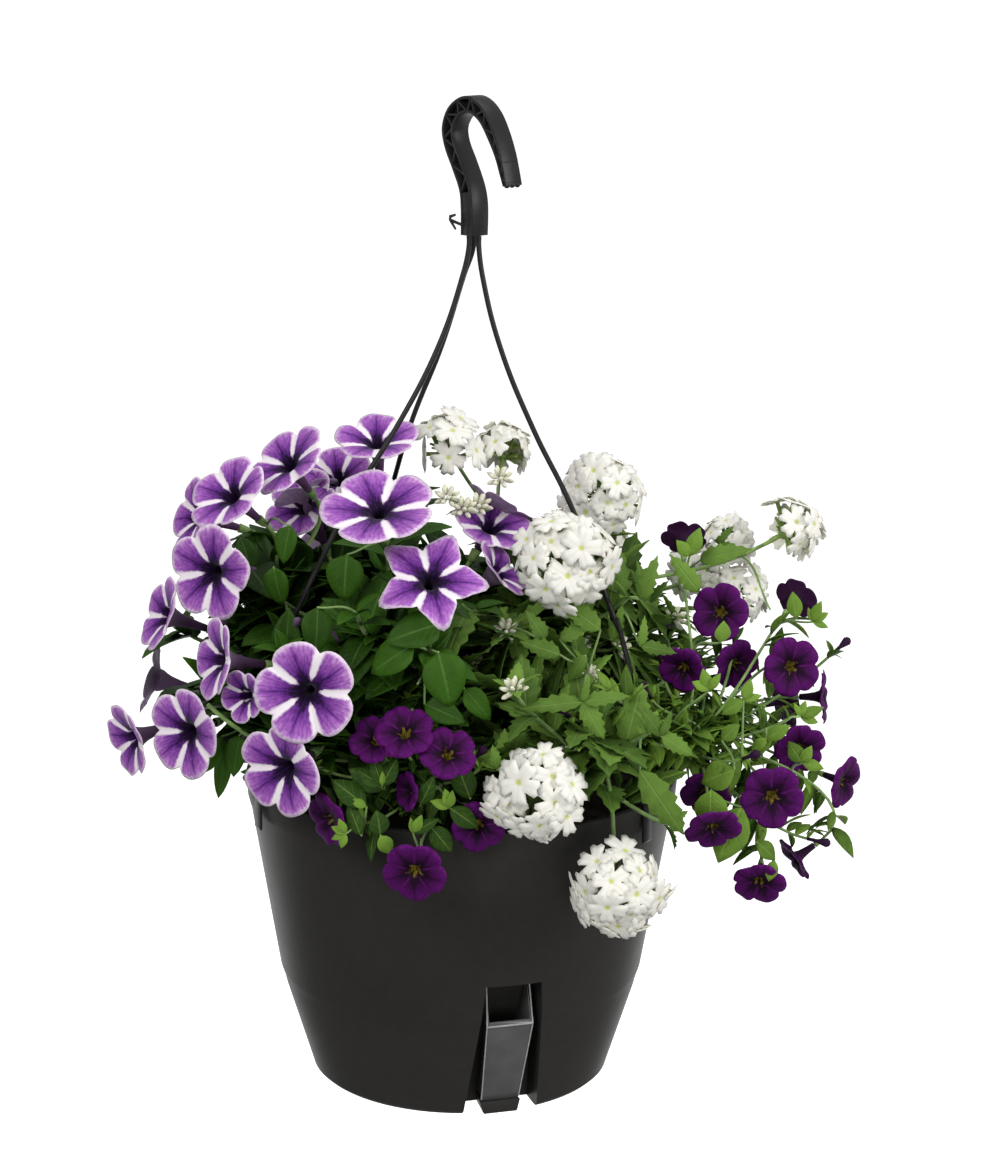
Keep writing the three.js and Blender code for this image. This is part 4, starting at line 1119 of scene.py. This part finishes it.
def verbena_head(across, open_from, seed):
    """Florets over a dome that faces +Z, which is open from a share of its height."""
    reach = across / 2
    head = bmesh.new()
    head.verts.layers.float_vector.new("petal")
    draw = random.Random(seed)
    count = FLORET_COUNT.get(seed, round(9 * (across / 40) ** 1.55))
    full = FLORET_SIZE.get(seed, 1) * min(1, reach / 80 + 0.62)
    for i in range(count):
        share = (i + 0.5) / count
        tilt = math.acos(1 - (1 - open_from) * 1.15 * share - open_from * 0.3)
        turn = math.radians(i * 137.5) + draw.uniform(-0.15, 0.15)
        out = Vector((math.sin(tilt) * math.cos(turn), math.sin(tilt) * math.sin(turn),
                      math.cos(tilt)))
        spot = Vector((0, 0, -0.35 * reach)) + out * 0.82 * reach * draw.uniform(0.86, 1.1)
        lean = (out + Vector((draw.uniform(-0.35, 0.35), draw.uniform(-0.35, 0.35), 0.2))).normalized()
        size = Matrix.Scale(draw.uniform(0.84, 1.08) * full, 4)
        add_copy(head, FLORET, Matrix.Translation(spot) @ aim(lean, draw.uniform(0, 6)) @ size)
    return head


def green_core(across, seed):
    """The short stem end of a head, with green tubes that have no open floret yet."""
    heart = Vector((0, 0, -0.26 * across))
    draw = random.Random(seed)
    tubes = []
    for i in range(22):
        out = on_dome(math.acos(1 - 1.3 * (i + 0.5) / 22), i * 2.4)
        start, end = heart + out * 0.04 * across, heart + out * draw.uniform(0.24, 0.32) * across
        tubes.append(([start, start.lerp(end, 0.5), end], [0.5, 1.1, 0.7]))
    tubes.append(([heart, Vector((0, 0, -0.57 * across))], [1.7, 1.3]))
    core = rods(tubes, 8, 2)
    bmesh.ops.create_uvsphere(core, u_segments=20, v_segments=12, radius=0.09 * across,
                              matrix=Matrix.Translation(heart))
    return core


def verbena(number, at, azimuth, height, across):
    """A placed head and its green core."""
    head = verbena_head(across, OPENING.get(number, 0), number)
    core = green_core(across, number)
    for shape in (head, core):
        in_place(shape, Vector(at), facing(azimuth, height))
    remember(head, azimuth)
    return head, core


FUSED_VERBENAS = {8: 7}
heads = {}
cores = {}
for number, (at, face, across, shoot) in enumerate(VERBENAS, 1):
    for group, shape in zip((heads, cores), verbena(number, at, *face, across)):
        gather(group, FUSED_VERBENAS.get(number, number), shape)
for number, head in heads.items():
    finish_piece(f"verbena_core_{number:02d}", cores[number], [GREEN_CORE], slot="verbena_leaf")
    finish_piece(f"verbena_bloom_{number:02d}", head, [VERBENA_PETAL],
                 f"verbena_head_{number:02d}", "verbena_petal")

# %% [markdown]
# ### Half-hidden blooms
# A real planting has more flowers than the solids carry: small ones in shade, ones seen from
# behind, and ones between leaves. They are drawn by the same three rules.

# %% Extra blooms
PETALS = {"petunia": PETUNIA_PETAL, "calibrachoa": CALIBRACHOA_PETAL, "verbena": VERBENA_PETAL}
MAKERS = {"petunia": petunia, "calibrachoa": calibrachoa, "verbena": verbena}
for number, (kind, at, face, across, shoot) in enumerate(EXTRA_BLOOMS, 20):
    shape = MAKERS[kind](number, at, *face, across)
    if kind == "verbena":
        shape, core = shape
        finish_piece(f"verbena_core_{number}", core, [GREEN_CORE], slot="verbena_leaf")
    finish_piece(f"{kind}_extra_{number}", shape, [PETALS[kind]], slot=kind + "_petal")

# %% [markdown]
# ## Leaves and stems
# Petunia leaves are broad, soft and folded along a pale rib. Verbena leaves are grey-green and
# toothed. Calibrachoa leaves are small blades. One leaf of each kind is drawn from a grid, shaped
# and given a thickness, and copies follow the rule that placed the leaves of the solids.

# %% Leaf finishes
def leaf_finish(name, deep, fresh, rib_colour, side_veins, gloss):
    """A leaf: a rib and side veins over a green that goes from deep to fresh by leaf."""
    material, shader, place, shares = new_finish(name, {"Specular IOR Level": 0.14}, "leaf")
    across, along, tone = shares.parts()
    side = abs(across)
    cloud = place.speckle(130.0, 4.0)
    rib = side.rising(0.09, 0.02) * along.rising(1.0, 0.6)
    slope = along * side_veins - side * (side_veins * 0.32)
    line = abs(slope.math("FRACT", slope) - 0.5).rising(0.09, 0.0) * side.rising(1.1, 0.5)
    blade = (tone * 0.75 + cloud * 0.5 - 0.12).rising(0.0, 1.0).mix(deep, fresh)
    veined = (line * 0.12).mix(blade, rib_colour)
    (rib * 0.3).mix(veined, rib_colour).into(shader)
    (gloss + cloud * 0.2).into(shader, "Roughness")
    bump(cloud * 0.6 - line * 0.5 - rib, shader, 0.5, 0.0009)
    return material


LEAF_FINISHES = {
    "petunia": leaf_finish("petunia leaf", "132705", "376010", "68904a", 7.0, 0.42),
    "calibrachoa": leaf_finish("calibrachoa leaf", "26410f", "739636", "98b25c", 4.0, 0.5),
    "verbena": leaf_finish("verbena leaf", "223b0e", "6a8c38", "8ca860", 6.0, 0.55),
}
STEM_GREEN = mottled("stem", {"Roughness": 0.6, "Sheen Weight": 0.2}, ("4a6e2a", "86a35a"),
                     (90.0, 4.0), (0.3, 0.7), (900.0, 3.0, 0.3, 0.0005))
print("leaf finishes:", len(LEAF_FINISHES))


# %% Leaf shapes
def leaf_shape(length, width, widest, blunt, teeth, columns=4, rows=7):
    """A leaf along +Y from its stalk, folded along the rib and arched, about 0.5 mm thick."""
    shape = bmesh.new()
    bmesh.ops.create_grid(shape, x_segments=columns, y_segments=rows, size=1)
    for vert in shape.verts:
        side, along = vert.co.x, (vert.co.y + 1) / 2
        bulge = math.sin(math.pi * along ** widest) ** blunt
        edge = 1.0
        if teeth and abs(side) > 0.9:
            outward = round(along * rows) % 2
            edge = 1 + teeth * (2 * outward - 1)
            along = min(1, along + 0.4 * outward / rows)
        out = max(0.03, bulge) * width / 2 * side * edge
        lift = 0.28 * abs(out) - 0.24 * length * along ** 2
        vert.co = Vector((out, along * length, lift))
    layer = shape.verts.layers.float_vector.new("leaf")
    for vert in shape.verts:
        vert[layer] = (vert.co.x * 2 / width, vert.co.y / length, 0.5)
    bmesh.ops.recalc_face_normals(shape, faces=shape.faces)
    bmesh.ops.solidify(shape, geom=shape.faces, thickness=0.5)
    bmesh.ops.recalc_face_normals(shape, faces=shape.faces)
    return shape


LEAF_LENGTH = {"petunia": 44, "calibrachoa": 23, "verbena": 44}
LEAF_FORM = {
    "petunia": (27, 0.72, 0.7, 0), "calibrachoa": (8, 0.9, 0.9, 0, 2, 6),
    "verbena": (21, 0.66, 0.85, 0.16, 2, 11),
}
LEAF_MESHES = {kind: as_mesh(leaf_shape(LEAF_LENGTH[kind], *form), kind + " leaf")
               for kind, form in LEAF_FORM.items()}
# Millimetres of stem for each leaf, as in the solids and for the leaves between them
SPACING = {"petunia": 64, "calibrachoa": 46, "verbena": 76}
FINE_SPACING = {"petunia": 6, "calibrachoa": 4, "verbena": 6}
STEM_RADIUS = {"petunia": 1.3, "calibrachoa": 0.9, "verbena": 1.2}
print("leaf faces:", [len(mesh.polygons) for mesh in LEAF_MESHES.values()])


# %% Stem paths
ROOT_DEPTH = 19.65
TWIG_REACH = 75
SIDE_TWIGS = 16


def bezier(points, t):
    """A point and a direction on a cubic curve."""
    a, b, c, d = points
    s = 1 - t
    place = a * s ** 3 + b * (3 * s * s * t) + c * (3 * s * t * t) + d * t ** 3
    run = (b - a) * s * s + (c - b) * (2 * s * t) + (d - c) * t * t
    return place, run.normalized()


def stalk(start, leave, end, arrive):
    """A cubic curve that leaves one point and arrives at another in given directions."""
    span = 0.42 * (end - start).length
    return [start, start + leave * span, end - arrive * span, end]


def side_twigs(rise, draw):
    """More leafy twigs along a rise, for the thick foliage between the flowers."""
    paths = []
    while len(paths) < SIDE_TWIGS:
        start, leave = bezier(rise, draw.uniform(0.55, 0.98))
        away = Vector((draw.uniform(-1, 1), draw.uniform(-1, 1), draw.uniform(-0.75, 0.75)))
        tip = start + away * TWIG_REACH
        radius = math.hypot(tip.x, tip.y)
        too_low = tip.z < 215 + max(0, radius - 105) * 0.5
        if too_low or away.length < 0.4 or radius > 150 or tip.z > 322:
            continue
        paths.append((stalk(start, leave, tip, (away + UP * 0.25).normalized()), None))
    return paths


def flower_path(rise, t, kind, at, face, across):
    """The stalk of a flower from a place on the rise, with the flower's kind, end and direction."""
    direction = facing(*face)
    depth = DEPTH[kind] * (across if kind == "verbena" else 1)
    end = Vector(at) - direction * (depth + 0.35)
    start, leave = bezier(rise, t)
    path = stalk(start, leave, end - direction * CUP[kind], direction)
    if at == HANGING_HEAD:
        path[1] += UP * 34
        path[2] = end + Vector((2, -4, 62))
    return path, (kind, end, direction)


def shoot_paths(name, root, hub, twigs):
    """Every stem of a shoot: its rise, the stalks of its flowers, and its twigs."""
    root = Vector((*root, soil_height(math.hypot(*root)) - ROOT_DEPTH))
    hub = Vector(hub)
    lift = root + UP * 0.6 * (hub - root).length
    rise = [root, lift, hub - 0.25 * (hub - root), hub]
    paths = [(rise, None)]
    flowers = [row[:4] for row in FLOWERS if row[4] == name]
    ends = len(flowers) + len(twigs)
    for i, flower in enumerate(flowers):
        paths.append(flower_path(rise, 0.97 - 0.47 * i / ends, *flower))
    for i, tip in enumerate(twigs):
        start, leave = bezier(rise, 0.97 - 0.47 * (len(flowers) + i) / ends)
        away = ((Vector(tip) - start).normalized() + Vector((0, 0, 0.25))).normalized()
        paths.append((stalk(start, leave, Vector(tip), away), None))
    for i, (*flower, shoot) in enumerate(EXTRA_BLOOMS):
        if shoot == name:
            paths.append(flower_path(rise, 0.55 + 0.4 * (i % 5) / 5, *flower))
    return paths + side_twigs(rise, random.Random(name))


# %% The draw that placed the leaves of the solids
def dice(seed):
    """Numbers from 0 to 1 by the 32-bit rule that the solids use."""
    state = [seed]

    def draw():
        state[0] = (state[0] + 0x6D2B79F5) & 0xFFFFFFFF
        t = state[0]
        t = ((t ^ t >> 15) * (t | 1)) & 0xFFFFFFFF
        t ^= (t + ((t ^ t >> 7) * (t | 61))) & 0xFFFFFFFF
        return ((t ^ t >> 14) & 0xFFFFFFFF) / 4294967296
    return draw


def leaf_matrix(at, along, up, size):
    across = along.cross(up).normalized()
    normal = across.cross(along).normalized()
    turn = Matrix((across, along, normal)).transposed().to_4x4()
    return Matrix.Translation(at) @ turn @ Matrix.Scale(size, 4)


# %% Leaves that stand out
KIND_OF = {name: kind for name, kind, *rest in SHOOTS}


def shown_leaf(place, length, angle, breadth, kind, draw):
    """A leaf at an angle in the picture, with its upper side up and to the front."""
    angle = math.radians(angle)
    along = Vector((math.cos(angle), draw.uniform(-0.4, 0.1), math.sin(angle))).normalized()
    front = Vector((draw.uniform(-0.3, 0.3), -0.85, 0.5))
    matrix = leaf_matrix(Vector(place), along, front, length / LEAF_LENGTH[kind])
    return matrix @ Matrix.Diagonal((breadth, 1, 1, 1))


draw = random.Random(9)
shown_leaves = {name: [] for name in KIND_OF}
for shoot, rows in SPRIGS.items():
    kind = KIND_OF[shoot]
    for place, *leaves in rows:
        for leaf in leaves:
            matrix = shown_leaf(place, *leaf, kind, draw)
            shown_leaves[shoot].append(matrix)
            points = [matrix @ vert.co for vert in LEAF_MESHES[kind].vertices]
            petal_points += points
            shown_points += points
print("leaves that stand out:", sum(map(len, shown_leaves.values())))


# %% Where leaves may go
# The picture's cells in pixels, the clearance in millimetres, the zone of the rim, and the x and
# z below which the left side stays bare
CELL = 6
CLEARANCE = 1.8
RIM_INSIDE, RIM_OUTSIDE, RIM_TOP = 124, 139, 201
LOW_LEFT = -90, 205


def point_tree(points):
    """Points sorted for a quick search of the nearest."""
    tree = kdtree.KDTree(len(points))
    for index, point in enumerate(points):
        tree.insert(point, index)
    tree.balance()
    return tree


def screen_cell(point):
    """The cell of the picture that a point falls in, and how far away it is."""
    across, height, away = seen(point)
    return (round(across / CELL), round(height / CELL)), away


petal_tree = point_tree(petal_points)
arm_tree = point_tree(arm_points)
screen = {}
for point in shown_points:
    cell, away = screen_cell(point)
    screen[cell] = max(screen.get(cell, 0), away)
print("cells of the picture kept for flowers:", len(screen))


def leaf_fits(mesh, matrix):
    """Whether a leaf keeps clear of the pot, flowers, arms, the bare low left of the picture
    and the view of a flower."""
    for vert in mesh.vertices:
        point = matrix @ vert.co
        radius = math.hypot(point.x, point.y)
        if radius < RIM_OUTSIDE and point.z < soil_height(min(radius, SOIL_RADIUS)) + 1:
            return False
        if RIM_INSIDE < radius < RIM_OUTSIDE and point.z < RIM_TOP:
            return False
        if point.x < LOW_LEFT[0] and point.z < LOW_LEFT[1]:
            return False
        if petal_tree.find(point)[2] < CLEARANCE or arm_tree.find(point)[2] < CLEARANCE:
            return False
        cell, away = screen_cell(point)
        if screen.get(cell, 0) > away:
            return False
    return True


# %% [markdown]
# ### Dressing the shoots
# Each shoot is one piece: its stems, its green cups behind the flowers, and its leaves. The first
# leaves follow the solids, and then more are drawn in between, because a real planting of this
# kind is thick with foliage.

# %% Stems and cups
def add_cup(shape, kind, end, direction):
    """The green cup that holds a flower's tube."""
    length, radius = (9, 3) if kind == "petunia" else (5, 2)
    cup = turned([(0, 0), (1.2, 0.2), (radius * 0.8, length * 0.4), (radius, length * 0.95),
                  (radius * 0.85, length), (0, length)], 16)
    in_place(cup, end - direction * length, direction)
    add_shape(shape, cup)


def shoot_stems(name, kind, paths):
    """The stems of a shoot, a thin one to each sprig, and the cups of its flowers."""
    stems = []
    for index, (path, flower) in enumerate(paths):
        radius = 1.7 if index == 0 else STEM_RADIUS[kind]
        stems.append(([path[0], path[3]], [radius, radius], path[1], path[2]))
    joints = [bezier(path, i / 12)[0] for path, flower in paths for i in range(3, 13)]
    for place in [Vector(row[0]) for row in SPRIGS.get(name, [])]:
        start = min(joints, key=lambda joint: (joint - place).length)
        run = (place - start).normalized()
        a, b, c, d = stalk(start, (run + 0.6 * UP).normalized(), place, run)
        stems.append(([a, d], [0.8, 0.6], b, c))
    shape = rods(stems, 8, 14)
    shape.verts.layers.float_vector.new("leaf")
    for path, flower in paths:
        if flower and CUP[flower[0]]:
            add_cup(shape, *flower)
    return shape


# %% Foliage
# Painted shade: the front shoot's leaves take a darker green than the same leaves on the lit right
FRONT_PAINTED_SHADE = -0.25
FRESH = 0.9
YOUNG_LEAF = 0.58
BARE_STALK = 0.7
bud_places = {"petunia": [], "calibrachoa": [], "verbena": []}


def add_leaf(shape, mesh, matrix, tone):
    """Adds one leaf and stores how fresh its green is."""
    points = add_copy(shape, mesh, matrix)
    layer = shape.verts.layers.float_vector["leaf"]
    for vert in points:
        vert[layer].z = tone


def leaf_plans(branch, path, flower, kind, draw, extra):
    """A stem's leaves, as the share of its length, the turn about it and the size of each."""
    length = sum((bezier(path, i / 20)[0] - bezier(path, (i + 1) / 20)[0]).length
                 for i in range(20))
    start, span = (0.45, 0.5) if branch == 0 else (0.12, 0.84)
    count = int(length / SPACING[kind])
    plans = []
    for i in range(count):
        a, b, c = draw(), draw(), draw()
        t = start + span * (i + 0.3 + 0.4 * a) / count
        plans.append((t, math.radians(i * 137.5 + branch * 61 + 50 * b), 0.75 + 0.4 * c))
    for i in range(int(length / FINE_SPACING[kind])):
        plans.append((extra.uniform(start, 0.98), extra.uniform(0, math.tau),
                      extra.uniform(0.5, 1.1)))
    if not flower:
        plans += [(1.0, i * 1.26, extra.uniform(0.3, 0.5)) for i in range(5)]
    return plans


def planned_leaf(path, t, turn, size):
    """The place of a leaf that grows from a stem, up and a little forwards."""
    at, run = bezier(path, t)
    side = run.cross(UP)
    side = side.normalized() if side.length > 0.05 else Vector((1, 0, 0))
    side = Matrix.Rotation(turn, 3, run) @ side
    along = (side + 0.5 * run + 0.25 * UP).normalized()
    return leaf_matrix(at, along, (UP + 0.3 * run).normalized(), size)


def shoot_leaves(number, name, kind, paths):
    """Every leaf of a shoot, with the front shoot's leaves painted darker as painted shade. A
    verbena's flower stalks are bare at the top.
    """
    green = bmesh.new()
    green.verts.layers.float_vector.new("leaf")
    draw = dice(100 + number)
    extra = random.Random(500 + number)
    mesh = LEAF_MESHES[kind]
    # The front shoot's darker tone is painted shade
    light = FRONT_PAINTED_SHADE if name == "front" else 1
    for matrix in shown_leaves[name]:
        young = kind == "calibrachoa" and matrix.col[1].length < YOUNG_LEAF
        add_leaf(green, mesh, matrix, FRESH if young else light * extra.uniform(0.3, 0.95))
    for branch, (path, flower) in enumerate(paths):
        for t, turn, size in leaf_plans(branch, path, flower, kind, draw, extra):
            if flower and kind == "verbena" and t > BARE_STALK:
                continue
            matrix = planned_leaf(path, t, turn, size)
            if leaf_fits(mesh, matrix):
                add_leaf(green, mesh, matrix, FRESH if t == 1.0 else light * extra.uniform(0, 0.85))
        if not flower and branch and extra.random() < 0.5:
            bud_places[kind].append((path[3], (path[3] - path[2]).normalized()))
    for face in green.faces:
        face.material_index = 1
    print(name, "leaves:", len(green.faces) // len(mesh.polygons))
    return green


# %% Shoots
for number, (name, kind, root, hub, twigs) in enumerate(SHOOTS):
    paths = shoot_paths(name, root, hub, twigs)
    shape = shoot_stems(name, kind, paths)
    add_shape(shape, shoot_leaves(number, name, kind, paths))
    finish_piece("foliage_" + name, shape, [STEM_GREEN, LEAF_FINISHES[kind]], "shoot_" + name,
                 "verbena_leaf" if kind == "verbena" else "petunia_leaf")

# %% [markdown]
# ## Buds
# Petunias and calibrachoas carry slim furled buds at their tips, the colour of the tube. Verbenas
# carry clusters of small cream ones, which open from the outside in.

# %% Buds
def mark_all(shape, shares):
    """Gives every point of a bud the same place in the petal's pattern."""
    layer = shape.verts.layers.float_vector.new("petal")
    for vert in shape.verts:
        vert[layer] = shares
    return shape


def furled_bud(length, radius):
    profile = [(0, 0), (0.34 * radius, 0.02 * length), (0.4 * radius, 0.45 * length),
               (0.8 * radius, 0.7 * length), (radius, 0.84 * length), (0.6 * radius, 0.96 * length),
               (0, length)]
    shape = turned(profile, 15)
    for vert in shape.verts:
        fold = abs(math.sin(2.5 * math.atan2(vert.co.y, vert.co.x)))
        draw_in(vert, 1 - 0.3 * fold * max(0, vert.co.z / length - 0.5))
    return mark_all(shape, (0.24, 0.05, 1.6))


def bud_cluster(count):
    shape = bmesh.new()
    for i in range(count):
        out = on_dome(math.acos(1 - 0.9 * (i + 0.5) / count), i * 2.4)
        spot = Matrix.Translation(out * 6) @ aim(out) @ Matrix.Diagonal((1.5, 1.5, 3.4, 1))
        bmesh.ops.create_icosphere(shape, subdivisions=2, radius=1, matrix=spot)
    return mark_all(shape, (0.14, 0, 0.5))


BUDS = {"petunia": furled_bud(24, 2.8), "calibrachoa": furled_bud(15, 3), "verbena": bud_cluster(14)}
for place, *leaves in SPRIGS["crown"]:
    if not leaves:
        bud_places["verbena"].append((Vector(place), facing(270, 50)))
for kind, bud in BUDS.items():
    mesh = as_mesh(bud, kind + " bud")
    shape = bmesh.new()
    shape.verts.layers.float_vector.new("petal")
    for place, direction in bud_places[kind]:
        if petal_tree.find(place + direction * 8)[2] > 10:
            add_copy(shape, mesh, Matrix.Translation(place) @ aim(direction))
    finish_piece(kind + "_buds", shape, [PETALS[kind]], slot=kind + "_petal")
